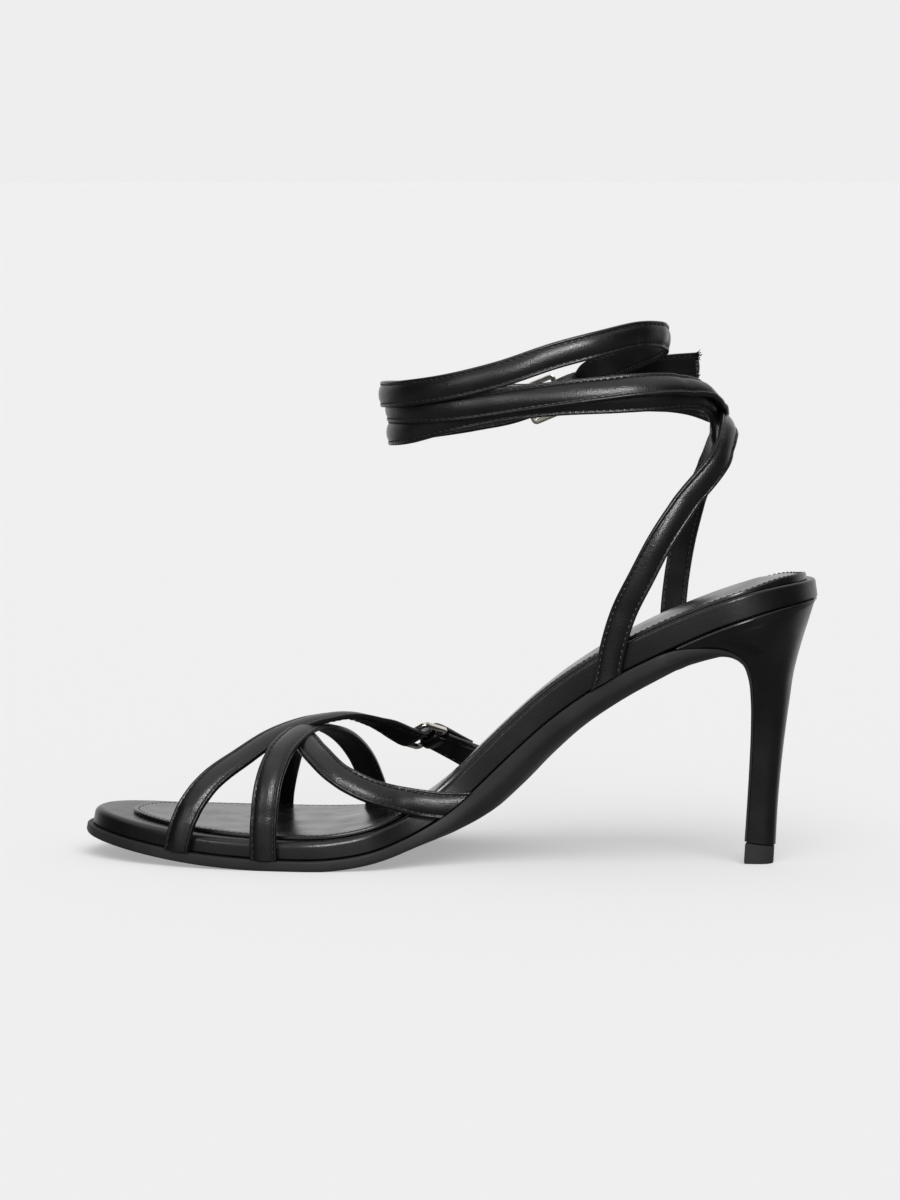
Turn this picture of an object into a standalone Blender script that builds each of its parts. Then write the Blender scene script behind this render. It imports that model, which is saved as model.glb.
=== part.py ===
# Strappy high-heeled sandal for the right foot.
# Sizes are millimetres: X runs towards the toe, Y towards the inner side of the foot, Z up from the floor.
# The rows are measured from the back of the footbed; ORIGIN then moves the middle of the shoe to zero.
import math

import bmesh
import bpy
import numpy as np

for old in list(bpy.data.objects):
    bpy.data.objects.remove(old)

# Main sizes
MM = 0.001
ORIGIN = (112.91, -0.15, 0.0)
GAP = 0.3
LENGTH = 248.0
HEEL_ROUND = 27.0
TOE_ROUND = 56.0
TOE_POWER = 2.15
TOE_APEX = 6.0
APEX_START = 150.0
FOREFOOT_TOP = 9.1
LAST_STEP = 0.5
RIM_DROP = 2.2
EDGE_STEPS = 3
EDGE_TUCK = 0.5
TUCK_HEIGHT = 0.7
DISH_FADE = 5.0
LIP = 1.7
FOOTBED_ACROSS = 6
OUTSOLE_ACROSS = 8
SOCK_THICK = 1.0
SOCK_BEVEL = 0.35
SOCK_INSET = 3.6
SOCK_BACK = 3.0
SOCK_FRONT = 12.0
TOE_STRAP_WIDTH = 8.4
TOE_BASE_WIDTH = 8.8
ANKLE_STRAP_WIDTH = 8.0
STRAP_THICK = 2.0
STRAP_ROUND = 0.55

# The footbed, a row for each station along it from the heel
SOLE_COLUMNS = ("along", "pitch", "medial", "lateral", "thick", "cup", "bank", "round")
SOLE_ROWS = (
    (0, 8.0, 25.0, 25.0, 7.0, 1.4, 0.0, 0.9),
    (12, 14.0, 25.8, 25.8, 7.0, 1.4, 0.0, 0.9),
    (28, 19.5, 26.5, 26.5, 7.2, 1.2, 0.0, 0.9),
    (50, 25.4, 25.4, 26.6, 7.8, 1.0, 0.0, 0.9),
    (75, 34.0, 22.8, 27.4, 8.0, 0.8, 0.03, 0.9),
    (100, 43.0, 21.2, 29.8, 7.6, 0.6, 0.045, 0.9),
    (124, 45.4, 21.0, 33.4, 7.3, 0.4, 0.045, 1.0),
    (142, 31.2, 25.5, 37.0, 6.8, 0.2, 0.025, 1.4),
    (160, 13.4, 36.0, 39.4, 6.2, 0.0, 0.0, 2.0),
    (178, 1.0, 40.0, 40.5, 5.7, 0.0, 0.0, 2.2),
    (198, -2.6, 39.0, 38.5, 5.5, 0.0, 0.0, 2.2),
    (225, -7.0, 36.5, 34.5, 5.4, 0.0, 0.0, 2.2),
    (248, -10.5, 34.0, 31.0, 5.3, 0.0, 0.0, 2.2),
)

# The outsole, a row for each station; behind LIP_FRONT the stations run on down the front of the heel
OUTSOLE_COLUMNS = ("along", "edge", "belly")
OUTSOLE_ROWS = (
    (-40, 0.8, 0.8),
    (10, 0.9, 0.9),
    (22, 1.1, 1.4),
    (30, 1.4, 3.0),
    (36, 1.9, 4.6),
    (42, 2.8, 6.2),
    (48, 3.6, 7.2),
    (60, 4.0, 7.5),
    (75, 4.2, 7.3),
    (95, 4.4, 6.9),
    (108, 4.4, 7.1),
    (118, 4.4, 7.5),
    (128, 4.1, 7.4),
    (138, 3.8, 6.0),
    (148, 3.5, 4.4),
    (160, 3.3, 3.6),
    (200, 3.4, 3.6),
    (248, 3.0, 3.0),
)
OUTSOLE_EDGE_COLUMNS = ("inward", "share")
OUTSOLE_EDGE_ROWS = (
    (0.5, 0.0),
    (0.0, 0.18),
    (0.0, 0.75),
)
BELLY_INSET = 0.7
BELLY_POWER = 3.0
LIP_FRONT = 51.0
FLAP_BEND = 42.0
FLAP_END = 0.6

# The heel, a row for each section from its front edge on the breast to its back
HEEL_COLUMNS = ("front_x", "front_z", "half", "back_x", "back_z")
HEEL_ROWS = (
    (40.0, 67.9, 25.2, 0.1, 80.7),
    (36.5, 68.3, 24.7, 0.8, 78.4),
    (32.0, 68.4, 23.6, 1.7, 75.5),
    (26.5, 67.9, 21.0, 2.8, 72.0),
    (22.4, 66.0, 17.3, 4.0, 68.0),
    (19.6, 63.0, 13.8, 5.2, 63.5),
    (18.3, 58.5, 10.8, 6.4, 58.0),
    (17.8, 51.0, 8.2, 7.4, 50.5),
    (17.9, 42.0, 6.6, 8.6, 41.5),
    (18.4, 31.0, 5.5, 9.8, 30.5),
    (19.1, 19.0, 4.8, 10.8, 18.5),
    (19.9, 6.8, 4.4, 11.4, 5.9),
)
HEEL_TIP_ROWS = (
    (20.4, 6.5, 4.2, 11.8, 5.6),
    (20.8, 0.4, 4.2, 12.0, 0.4),
    (20.4, 0.0, 3.8, 12.4, 0.0),
)
HEEL_FLAT = 0.42
HEEL_FLAT_STEPS = 3
HEEL_ARC_STEPS = 8
HEEL_STEPS = 2
SEAT_FRONT = 45.4
SEAT_TURN = 26.0
SEAT_BACK = 0.5
SEAT_INSET = 0.9

# The toe straps, a row for each bend: station, distance across, height over the footbed
TOE_COLUMNS = ("along", "across", "above")
STRAP_A_ROWS = (
    (216.0, 36.6, -11.0),
    (215.5, 36.9, -2.0),
    (214.0, 35.8, 5.5),
    (209.0, 30.8, 15.0),
    (199.0, 22.5, 23.6),
    (189.0, 14.2, 30.2),
    (176.0, 5.8, 33.9),
    (161.0, -1.2, 33.2),
    (148.5, -7.2, 28.6),
    (140.5, -14.0, 21.6),
    (137.2, -21.0, 17.4),
    (134.5, -28.5, 13.2),
    (132.0, -34.3, 8.2),
    (128.5, -35.9, 1.0),
    (125.0, -35.2, -6.0),
    (122.5, -34.6, -14.0),
)
STRAP_B_ROWS = (
    (198.0, -39.8, -11.0),
    (198.0, -39.9, -2.5),
    (197.5, -37.6, 4.0),
    (196.0, -32.5, 9.5),
    (193.0, -22.5, 16.8),
    (188.5, -7.0, 24.2),
    (184.5, 6.5, 28.8),
    (181.0, 15.5, 29.6),
    (174.0, 25.0, 26.0),
    (164.0, 30.8, 19.4),
    (153.0, 31.0, 11.6),
    (145.0, 28.4, 5.2),
    (139.5, 26.2, 0.0),
    (135.0, 25.0, -4.4),
    (131.0, 24.0, -8.3),
    (127.5, 23.4, -11.8),
)
STRAP_C_ROWS = (
    (166.0, -41.3, -12.0),
    (166.0, -41.4, -3.0),
    (166.0, -39.4, 3.0),
    (166.0, -34.5, 8.8),
    (166.5, -27.2, 16.5),
    (169.5, -15.0, 25.0),
    (174.0, -3.0, 29.8),
    (179.0, 8.5, 31.8),
    (182.5, 20.0, 30.2),
    (186.0, 31.5, 25.0),
    (187.8, 38.4, 16.5),
    (188.3, 40.8, 8.0),
    (188.4, 41.3, 0.0),
    (188.2, 41.2, -5.0),
    (188.0, 41.2, -12.0),
)
TOE_BUCKLE_ROW = 10
TOE_FLATTEN = 0.56

# The ankle straps, a row for each bend: distances ahead of the heel, to the inner side and up
STRAP_N_ROWS = (
    (63.3, 25.0, 50.0),
    (61.1, 25.2, 58.0),
    (59.3, 25.8, 67.5),
    (55.8, 27.2, 79.0),
    (50.1, 28.6, 90.4),
    (44.3, 28.5, 101.5),
    (37.4, 25.2, 112.4),
    (26.7, 18.7, 127.0),
    (25.6, 11.2, 134.0),
    (27.5, -2.0, 136.8),
    (32.0, -13.5, 138.4),
    (41.4, -23.0, 140.8),
    (55.2, -28.4, 141.8),
    (73.4, -30.2, 142.0),
    (92.4, -30.6, 141.8),
    (109.7, -27.8, 141.4),
    (123.5, -19.2, 139.8),
    (131.1, -6.0, 139.5),
    (130.6, 7.0, 139.5),
    (122.9, 20.0, 139.8),
    (108.7, 28.8, 140.9),
    (85.5, 31.6, 144.3),
    (62.5, 31.2, 147.2),
    (47.8, 27.4, 148.6),
    (38.0, 20.5, 148.2),
    (32.4, 14.0, 146.8),
    (30.2, 7.0, 143.6),
    (30.0, -1.0, 140.2),
    (33.4, -13.4, 140.2),
    (42.1, -24.4, 141.2),
    (56.4, -30.2, 141.4),
    (73.5, -32.0, 141.4),
    (92.5, -32.4, 141.6),
    (110.8, -29.4, 142.2),
    (125.6, -20.0, 143.0),
    (133.3, -6.0, 143.6),
    (132.6, 7.4, 144.0),
    (124.3, 21.6, 145.0),
    (108.6, 30.8, 147.6),
    (93.4, 33.2, 151.4),
    (75.5, 31.6, 157.4),
    (62.3, 27.4, 160.9),
    (52.3, 19.0, 163.2),
    (46.1, 6.6, 162.6),
    (47.1, -6.4, 159.8),
    (53.7, -16.4, 156.6),
    (62.9, -24.4, 153.0),
    (72.9, -30.4, 149.2),
)
STRAP_F_ROWS = (
    (46.8, -28.4, 57.0),
    (46.6, -28.4, 66.0),
    (46.4, -28.5, 74.0),
    (45.3, -28.8, 85.4),
    (43.2, -27.8, 97.1),
    (39.7, -24.0, 108.9),
    (34.2, -14.0, 122.0),
    (31.4, -4.5, 131.0),
    (30.6, 3.0, 138.4),
    (31.8, 10.0, 143.0),
    (36.4, 17.2, 144.6),
    (45.2, 23.4, 144.4),
    (57.8, 27.8, 143.8),
    (77.7, 29.8, 142.8),
    (95.7, 29.0, 140.4),
    (109.9, 26.4, 137.2),
    (122.5, 18.6, 133.6),
    (130.3, 6.0, 132.2),
    (131.0, -8.0, 132.0),
    (123.7, -21.6, 132.8),
    (110.5, -31.4, 134.6),
    (97.8, -35.4, 137.2),
    (88.2, -36.0, 140.8),
    (78.7, -34.6, 145.0),
    (68.5, -31.8, 148.0),
    (56.2, -27.6, 150.4),
    (46.9, -24.0, 151.6),
    (38.2, -20.0, 152.4),
)
ANKLE_BUCKLE_ROW = 22
ANKLE_AXIS = 80.0
ANKLE_LONG = 52.0
ANKLE_WIDE = 31.0
TURN_LOW = 76.0
TURN_HIGH = 112.0

# How far the wound strap leans in, in degrees, where it turns behind the leg on the inner side
LEAN_COLUMNS = ("ahead", "lean")
LEAN_ROWS = (
    (26, 70),
    (29, 66),
    (33, 56),
    (40, 44),
    (62, 30),
    (95, 0),
)
LEAN_RISE = (130.0, 142.0)
LEAN_FALL = (156.0, 151.0)
LEAN_ACROSS = (-16.0, -2.0)
TOE_STEP = 4.5
ANKLE_STEP = 5.5

# The buckles: a frame, a prong and a strap loop, rows running along the strap and square to it
FRAME_LONG = 12.4
FRAME_WIDE = 13.2
FRAME_CORNER = 0.9
BAR_WIDE = 1.7
BAR_THICK = 1.4
BAR_BEVEL = 0.3
BAR_CENTRE = (FRAME_LONG - BAR_WIDE) / 2
BUCKLE_COLUMNS = ("along", "above")
PRONG_ROWS = (
    (2.9, 0.1),
    (0.0, 0.9),
    (-3.0, 1.35),
    (-5.35, 1.45),
    (-6.7, 1.25),
)
PRONG_RADIUS = 0.55
PRONG_SIDES = 8
PRONG_STEP = 1.2
LOOP_ROWS = (
    (11.35, 0.55),
    (7.55, 1.35),
    (5.35, 1.5),
    (4.05, 0.95),
    (3.7, 0.0),
    (4.05, -0.95),
    (5.35, -1.5),
    (7.55, -1.35),
    (11.35, -0.55),
)
LOOP_WIDTH = 6.6
LOOP_THICK = 0.9
LOOP_STEP = 0.9
LOOP_AXIS = 5.95
HOLD_START = 9.0
HOLD_END = 20.0
UNDER_BAR = -BAR_THICK / 2 - GAP - STRAP_THICK / 2
OVER_LOOP = 1.4 + LOOP_THICK / 2 + STRAP_THICK / 2
TOE_FRAME_LIFT = 1.2
TOE_LIFT_START = 16.0
TOE_TAIL = 20.0
TOE_TAIL_LIFT = 1.9
BASE_START = 4.0
BASE_SETTLE = 12.0
ANKLE_FRAME_LIFT = 0.4
ANKLE_LIFT_START = 18.0
ANKLE_TAIL = 20.0
ANKLE_TAIL_LIFT = 1.2
ANKLE_END_ROWS = (
    (13.35, -0.5),
    (8.35, 0.0),
)

# The cutter under the joint of footbed and outsole, which trims the strap ends
TRIM_START = 36.0
TRIM_END = 240.0
TRIM_STEPS = 35
TRIM_HALF = 60.0
TRIM_DEEP = 40.0


class Table:
    """A table whose columns are read smoothly at any place along its first column."""

    def __init__(self, columns, rows):
        self.values = {}
        for number, name in enumerate(columns):
            self.values[name] = np.array([row[number] for row in rows], float)
        self.places = self.values[columns[0]]

    def at(self, name, place):
        places = self.places
        values = self.values[name]
        steps = np.diff(places)
        slopes = np.diff(values) / steps
        tangents = np.zeros(len(places))
        tangents[0] = slopes[0]
        tangents[-1] = slopes[-1]
        for i in range(1, len(places) - 1):
            if slopes[i - 1] * slopes[i] > 0:
                before = 2 * steps[i] + steps[i - 1]
                after = steps[i] + 2 * steps[i - 1]
                tangents[i] = (before + after) / (before / slopes[i - 1] + after / slopes[i])
        k = np.clip(np.searchsorted(places, place) - 1, 0, len(places) - 2)
        t = (place - places[k]) / steps[k]
        rise = values[k] * (1 + 2 * t) * (1 - t) ** 2 + values[k + 1] * t * t * (3 - 2 * t)
        bend = tangents[k] * t * (1 - t) ** 2 - tangents[k + 1] * t * t * (1 - t)
        return rise + steps[k] * bend


def ramp(value, start, end):
    """How far a value lies from a start to an end, from 0 to 1."""
    return min(1.0, max(0.0, (value - start) / (end - start)))


def named(columns, rows):
    return [dict(zip(columns, row)) for row in rows]


sole = Table(SOLE_COLUMNS, SOLE_ROWS)
outsole_table = Table(OUTSOLE_COLUMNS, OUTSOLE_ROWS)

# The last's bottom line, summed from its pitch
last_along = np.arange(0.0, LENGTH + LAST_STEP / 2, LAST_STEP)
last_pitch = np.radians(sole.at("pitch", last_along))
mean_pitch = (last_pitch[1:] + last_pitch[:-1]) / 2
last_x = np.concatenate([[0.0], np.cumsum(np.cos(mean_pitch) * LAST_STEP)])
last_z = -np.concatenate([[0.0], np.cumsum(np.sin(mean_pitch) * LAST_STEP)])
last_z = last_z - last_z.min() + FOREFOOT_TOP


def on_last(along, across, above):
    """A point over the footbed: station along it, distance across, height square to it."""
    inside = min(max(along, 0.0), LENGTH)
    beyond = along - inside
    rise = above + across * sole.at("bank", inside)
    pitch = np.interp(inside, last_along, last_pitch)
    x = np.interp(inside, last_along, last_x) + beyond * math.cos(pitch) + rise * math.sin(pitch)
    z = np.interp(inside, last_along, last_z) - beyond * math.sin(pitch) + rise * math.cos(pitch)
    return np.array([x, across, z])


def end_round(along):
    """Share of the full width left where the heel and toe ends round off."""
    if along < HEEL_ROUND:
        return math.sqrt(max(0.0, 1 - ((HEEL_ROUND - along) / HEEL_ROUND) ** 2))
    if along > LENGTH - TOE_ROUND:
        reach = min(1.0, (along - LENGTH + TOE_ROUND) / TOE_ROUND)
        return max(0.0, 1 - reach ** TOE_POWER) ** (1 / TOE_POWER)
    return 1.0


def edge(along, side):
    """Distance across to the footbed's edge on the inner (+1) or outer (-1) side."""
    half = sole.at("medial" if side > 0 else "lateral", along)
    share = ramp(along, APEX_START, LENGTH)
    apex = TOE_APEX * share * share * (3 - 2 * share)
    return apex + (side * half - apex) * end_round(along)


def quarter_turns(steps):
    return [math.radians(90 * k / steps) for k in range(steps + 1)]


def toe_stations(steps):
    return [LENGTH - TOE_ROUND + TOE_ROUND * math.sin(turn) for turn in quarter_turns(steps)]


def heel_stations(steps):
    return [HEEL_ROUND - HEEL_ROUND * math.cos(turn) for turn in quarter_turns(steps)]


def sides_at(stations):
    inner = [np.array([s, edge(s, 1)]) for s in stations]
    outer = [np.array([s, edge(s, -1)]) for s in stations]
    return inner, outer


def inset(sides, distance):
    """The two side lines moved inwards by a distance, or by one for each station; round ends move too."""
    moved = []
    for line, other, turn in ((sides[0], sides[1], 1), (sides[1], sides[0], -1)):
        new_line = []
        last = len(line) - 1
        for i, point in enumerate(line):
            before = line[i - 1] if i > 0 else 2 * line[0] - line[1]
            after = line[i + 1] if i < last else 2 * line[last] - line[last - 1]
            if i == 0 and np.linalg.norm(line[0] - other[0]) < 0.01:
                before = other[1]
            if i == last and np.linalg.norm(line[last] - other[last]) < 0.01:
                after = other[last - 1]
            run = after - before
            run = run / np.linalg.norm(run)
            reach = distance(point[0]) if callable(distance) else distance
            new_line.append(point + reach * turn * np.array([run[1], -run[0]]))
        moved.append(new_line)
    return moved


def level(sides, across, height, place):
    """Rows of points from the inner to the outer side line, set at a height by a placing function."""
    rows = []
    for start, end in zip(*sides):
        row = []
        for k in range(across + 1):
            along, aside = start + (end - start) * k / across
            row.append(place(along, aside, height(along, aside)))
        rows.append(row)
    return rows


def border(rows):
    first = rows[0][1:-1]
    final = rows[-1][1:-1]
    return [row[0] for row in rows] + final + [row[-1] for row in rows[::-1]] + first[::-1]


class Shell:
    """Faces given by their corner points; corners that coincide become one."""

    def __init__(self):
        self.points = []
        self.faces = []

    def face(self, corners):
        start = len(self.points)
        self.points.extend(corners)
        self.faces.append(list(range(start, start + len(corners))))

    def sheet(self, rows):
        for low, high in zip(rows, rows[1:]):
            for k in range(len(low) - 1):
                self.face([low[k], low[k + 1], high[k + 1], high[k]])

    def band(self, low, high):
        for k in range(len(low)):
            after = (k + 1) % len(low)
            self.face([low[k], low[after], high[after], high[k]])

    def stack(self, levels):
        """A closed body from a top level through wall levels to a bottom level."""
        self.sheet(levels[0])
        self.sheet(levels[-1])
        for high, low in zip(levels, levels[1:]):
            self.band(border(high), border(low))
        return self

    def tube(self, rings, closed=False):
        for low, high in zip(rings, rings[1:]):
            self.band(low, high)
        if closed:
            self.band(rings[-1], rings[0])
        else:
            self.face(rings[0])
            self.face(rings[-1])
        return self

    def make(self, name, material):
        mesh = bpy.data.meshes.new(name)
        mesh.from_pydata([tuple((p - ORIGIN) * MM) for p in self.points], [], self.faces)
        body = bmesh.new()
        body.from_mesh(mesh)
        bmesh.ops.remove_doubles(body, verts=body.verts, dist=0.00001)
        bmesh.ops.dissolve_degenerate(body, edges=body.edges, dist=0.000001)
        bmesh.ops.recalc_face_normals(body, faces=body.faces)
        body.to_mesh(mesh)
        body.free()
        made = bpy.data.objects.new(name, mesh)
        bpy.context.scene.collection.objects.link(made)
        made.data.materials.append(material)
        return made


def finish(name, colour, roughness, metallic=0.0):
    material = bpy.data.materials.new(name)
    material.use_nodes = True
    shader = material.node_tree.nodes["Principled BSDF"]
    shader.inputs["Base Color"].default_value = colour
    shader.inputs["Roughness"].default_value = roughness
    shader.inputs["Metallic"].default_value = metallic
    return material


BUCKLE_COLOUR = (0.80, 0.76, 0.66, 1)
strap_leather = finish("strap leather", (0.018, 0.018, 0.020, 1), 0.45)
ankle_leather = finish("ankle leather", (0.018, 0.018, 0.020, 1), 0.45)
edge_leather = finish("footbed leather", (0.020, 0.020, 0.022, 1), 0.40)
sock_leather = finish("sock leather", (0.028, 0.028, 0.030, 1), 0.35)
sole_black = finish("outsole black", (0.022, 0.020, 0.020, 1), 0.50)
heel_leather = finish("heel leather", (0.018, 0.018, 0.019, 1), 0.42)
tip_black = finish("heel tip black", (0.012, 0.012, 0.012, 1), 0.65)
toe_metal = finish("toe buckle metal", BUCKLE_COLOUR, 0.18, 1.0)
toe_prong_metal = finish("toe prong metal", BUCKLE_COLOUR, 0.18, 1.0)
ankle_metal = finish("ankle buckle metal", BUCKLE_COLOUR, 0.18, 1.0)
ankle_prong_metal = finish("ankle prong metal", BUCKLE_COLOUR, 0.18, 1.0)


# Footbed: a cupped top, a wrapped edge, crisp at the heel and rounder at the toe, and a tucked underside
def cup(along, aside):
    half = sole.at("medial" if aside > 0 else "lateral", along)
    return sole.at("cup", along) * (aside / half) ** 2


def top_drop(along):
    """Height of the footbed's top, lower where its edge is crisp, so that the side ends level."""
    return sole.at("round", along) - RIM_DROP


def edge_height(turn):
    def height(along, aside):
        depth = sole.at("round", along) * (1 - math.cos(turn))
        return cup(along, aside) * (1 - depth / DISH_FADE) + top_drop(along) - depth
    return height


def edge_inset(turn):
    return lambda along: sole.at("round", along) * (1 - math.sin(turn))


def underside(along, aside):
    return -sole.at("thick", along)


def above_underside(along, aside):
    return underside(along, aside) + TUCK_HEIGHT


middle_stations = list(np.linspace(HEEL_ROUND, LENGTH - TOE_ROUND, 17))
footbed_stations = heel_stations(7)[:-1] + middle_stations[:-1] + toe_stations(10)
footbed_sides = sides_at(footbed_stations)
footbed_levels = []
for turn in quarter_turns(EDGE_STEPS):
    outline = inset(footbed_sides, edge_inset(turn))
    footbed_levels.append(level(outline, FOOTBED_ACROSS, edge_height(turn), on_last))
footbed_levels.append(level(footbed_sides, FOOTBED_ACROSS, above_underside, on_last))
footbed_levels.append(level(inset(footbed_sides, EDGE_TUCK), FOOTBED_ACROSS, underside, on_last))
Shell().stack(footbed_levels).make("footbed", edge_leather)


# Sock: a thin cover over the footbed, inset from its edge and shorter at the toe
def squeeze(line):
    start = line[0][0]
    end = line[-1][0]
    ratio = (LENGTH - SOCK_FRONT - SOCK_BACK) / (end - start)
    return [np.array([SOCK_BACK + (s - start) * ratio, y]) for s, y in line]


def over_footbed(height):
    return lambda along, aside: cup(along, aside) + top_drop(along) + GAP + height


sock_sides = [squeeze(line) for line in inset(footbed_sides, SOCK_INSET)]
sock_levels = [
    level(inset(sock_sides, SOCK_BEVEL), FOOTBED_ACROSS, over_footbed(SOCK_THICK), on_last),
    level(sock_sides, FOOTBED_ACROSS, over_footbed(SOCK_THICK - SOCK_BEVEL), on_last),
    level(sock_sides, FOOTBED_ACROSS, over_footbed(0.0), on_last),
]
Shell().stack(sock_levels).make("sock", sock_leather)


# Even points along a smooth line through a row of points
def travel_along(line):
    return np.concatenate([[0.0], np.cumsum(np.linalg.norm(np.diff(line, axis=0), axis=1))])


def route(points, step, fineness=24):
    points = [np.array(p, float) for p in points]
    lengths = [np.linalg.norm(b - a) for a, b in zip(points, points[1:])]
    slopes = [(b - a) / h for a, b, h in zip(points, points[1:], lengths)]
    tangents = [slopes[0]]
    for i in range(1, len(points) - 1):
        before = lengths[i - 1]
        after = lengths[i]
        tangents.append((slopes[i - 1] * after + slopes[i] * before) / (before + after))
    tangents.append(slopes[-1])
    fine = []
    for i, h in enumerate(lengths):
        for k in range(fineness):
            t = k / fineness
            rise = points[i] * (1 + 2 * t) * (1 - t) ** 2 + points[i + 1] * t * t * (3 - 2 * t)
            bend = tangents[i] * t * (1 - t) ** 2 - tangents[i + 1] * t * t * (1 - t)
            fine.append(rise + h * bend)
    fine.append(points[-1])
    fine = np.array(fine)
    travel = travel_along(fine)
    even = np.linspace(0.0, travel[-1], max(2, int(round(travel[-1] / step))) + 1)
    return np.stack([np.interp(even, travel, fine[:, axis]) for axis in range(3)], axis=1)


def nearest_number(line, point):
    return int(np.argmin(np.linalg.norm(line - point, axis=1)))


# The breast, the line on which the outsole runs on under the heel's lip and down its front
heel_rows = named(HEEL_COLUMNS, HEEL_ROWS)
breast_points = [on_last(LIP_FRONT, 0.0, -sole.at("thick", LIP_FRONT) - GAP)]
breast_points = breast_points + [np.array([row["front_x"], 0.0, row["front_z"]]) for row in heel_rows]
breast_line = route(breast_points, 1.0)
breast_travel = travel_along(breast_line)
breast_places = [breast_travel[nearest_number(breast_line, point)] for point in breast_points]
breast_halves = [edge(LIP_FRONT, 1) + LIP] + [row["half"] for row in heel_rows]
breast_table = Table(("travel", "half"), list(zip(breast_places, breast_halves)))


def breast_point(travel):
    return np.array([np.interp(travel, breast_travel, breast_line[:, axis]) for axis in range(3)])


def breast_inwards(travel):
    run = breast_point(travel - 0.8) - breast_point(travel + 0.8)
    run = run / np.linalg.norm(run)
    return np.array([-run[2], 0.0, run[0]])


def on_sole(along, across, above):
    """A point by the outsole's top line, along the footbed and then the breast; not under the floor."""
    if along >= LIP_FRONT:
        point = on_last(along, across, above - sole.at("thick", along) - GAP)
    else:
        travel = LIP_FRONT - along
        point = breast_point(travel) + above * breast_inwards(travel) + np.array([0.0, across, 0.0])
    return np.array([point[0], point[1], max(point[2], 0.0)])


def outsole_half(along, side):
    if along >= LIP_FRONT:
        return edge(along, side)
    return side * breast_table.at("half", LIP_FRONT - along)


# Outsole: a cut edge, a rounded belly under the arch, flat on the floor at the forefoot
flap_end = LIP_FRONT - breast_travel[-1] + FLAP_END
flap_stations = list(np.linspace(flap_end, LIP_FRONT - FLAP_BEND, 5))[:-1]
flap_stations = flap_stations + list(np.linspace(LIP_FRONT - FLAP_BEND, LIP_FRONT - 1.0, 14))
tread_stations = list(np.linspace(LIP_FRONT + 3.0, LENGTH - TOE_ROUND, 17))[:-1] + toe_stations(10)
outsole_sides = []
for side, line in zip((1, -1), inset(sides_at(tread_stations), -LIP)):
    flap = [np.array([s, outsole_half(s, side)]) for s in flap_stations]
    outsole_sides.append(flap + list(line))


def sole_edge(share):
    return lambda along, aside: -share * outsole_table.at("edge", along)


def sole_belly(along, aside):
    rim = outsole_table.at("edge", along)
    half = max(1.0, abs(outsole_half(along, 1 if aside > 0 else -1)))
    share = min(1.0, abs(aside) / half)
    return -rim - (outsole_table.at("belly", along) - rim) * (1 - share ** BELLY_POWER)


outsole_levels = []
for row in named(OUTSOLE_EDGE_COLUMNS, OUTSOLE_EDGE_ROWS):
    outline = inset(outsole_sides, row["inward"])
    outsole_levels.append(level(outline, OUTSOLE_ACROSS, sole_edge(row["share"]), on_sole))
outsole_levels.append(level(inset(outsole_sides, BELLY_INSET), OUTSOLE_ACROSS, sole_belly, on_sole))
Shell().stack(outsole_levels).make("outsole", sole_black)


# Heel: sections with a straight front edge and a rounded back
def heel_shares():
    front = [HEEL_FLAT * k / HEEL_FLAT_STEPS for k in range(HEEL_FLAT_STEPS)]
    shares = [(share, 1.0) for share in front]
    for turn in quarter_turns(HEEL_ARC_STEPS):
        shares.append((HEEL_FLAT + (1 - HEEL_FLAT) * math.sin(turn), math.cos(turn)))
    return shares


def heel_section(front, back, half):
    rows = []
    for share, width in heel_shares():
        middle = front + (back - front) * share
        offset = np.array([0.0, half * width, 0.0])
        rows.append([middle + offset, middle - offset])
    return rows


def seat_section():
    """The heel's top, under the footbed."""
    shares = heel_shares()
    rows = []
    for number, (share, width) in enumerate(shares):
        if number < HEEL_FLAT_STEPS:
            along = SEAT_FRONT + (SEAT_TURN - SEAT_FRONT) * share / HEEL_FLAT
        else:
            along = SEAT_TURN + (SEAT_BACK - SEAT_TURN) * (share - HEEL_FLAT) / (1 - HEEL_FLAT)
        drop = -sole.at("thick", along) - GAP
        inner = max(0.0, edge(along, 1) - SEAT_INSET)
        outer = min(0.0, edge(along, -1) + SEAT_INSET)
        if number == len(shares) - 1:
            inner = 0.0
            outer = 0.0
        rows.append([on_last(along, inner, drop), on_last(along, outer, drop)])
    return rows


heel_table = Table(("place",) + HEEL_COLUMNS, [(i,) + row for i, row in enumerate(HEEL_ROWS)])
heel_levels = [seat_section()]
for number in range(HEEL_STEPS * (len(HEEL_ROWS) - 1) + 1):
    place = number / HEEL_STEPS
    front = np.array([heel_table.at("front_x", place), 0.0, heel_table.at("front_z", place)])
    back = np.array([heel_table.at("back_x", place), 0.0, heel_table.at("back_z", place)])
    travel = breast_travel[nearest_number(breast_line, front)]
    front = breast_point(travel) + GAP * breast_inwards(travel)
    heel_levels.append(heel_section(front, back, heel_table.at("half", place)))
Shell().stack(heel_levels).make("heel", heel_leather)

# Heel tip: from the slanted seam down to the flat that stands on the floor
tip_levels = []
for row in named(HEEL_COLUMNS, HEEL_TIP_ROWS):
    front = np.array([row["front_x"], 0.0, row["front_z"]])
    back = np.array([row["back_x"], 0.0, row["back_z"]])
    tip_levels.append(heel_section(front, back, row["half"]))
Shell().stack(tip_levels).make("heel_tip", tip_black)


# Straps: a soft-edged band swept along a line, its face turned outwards
def unit(vector):
    return vector / np.linalg.norm(vector)


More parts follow.
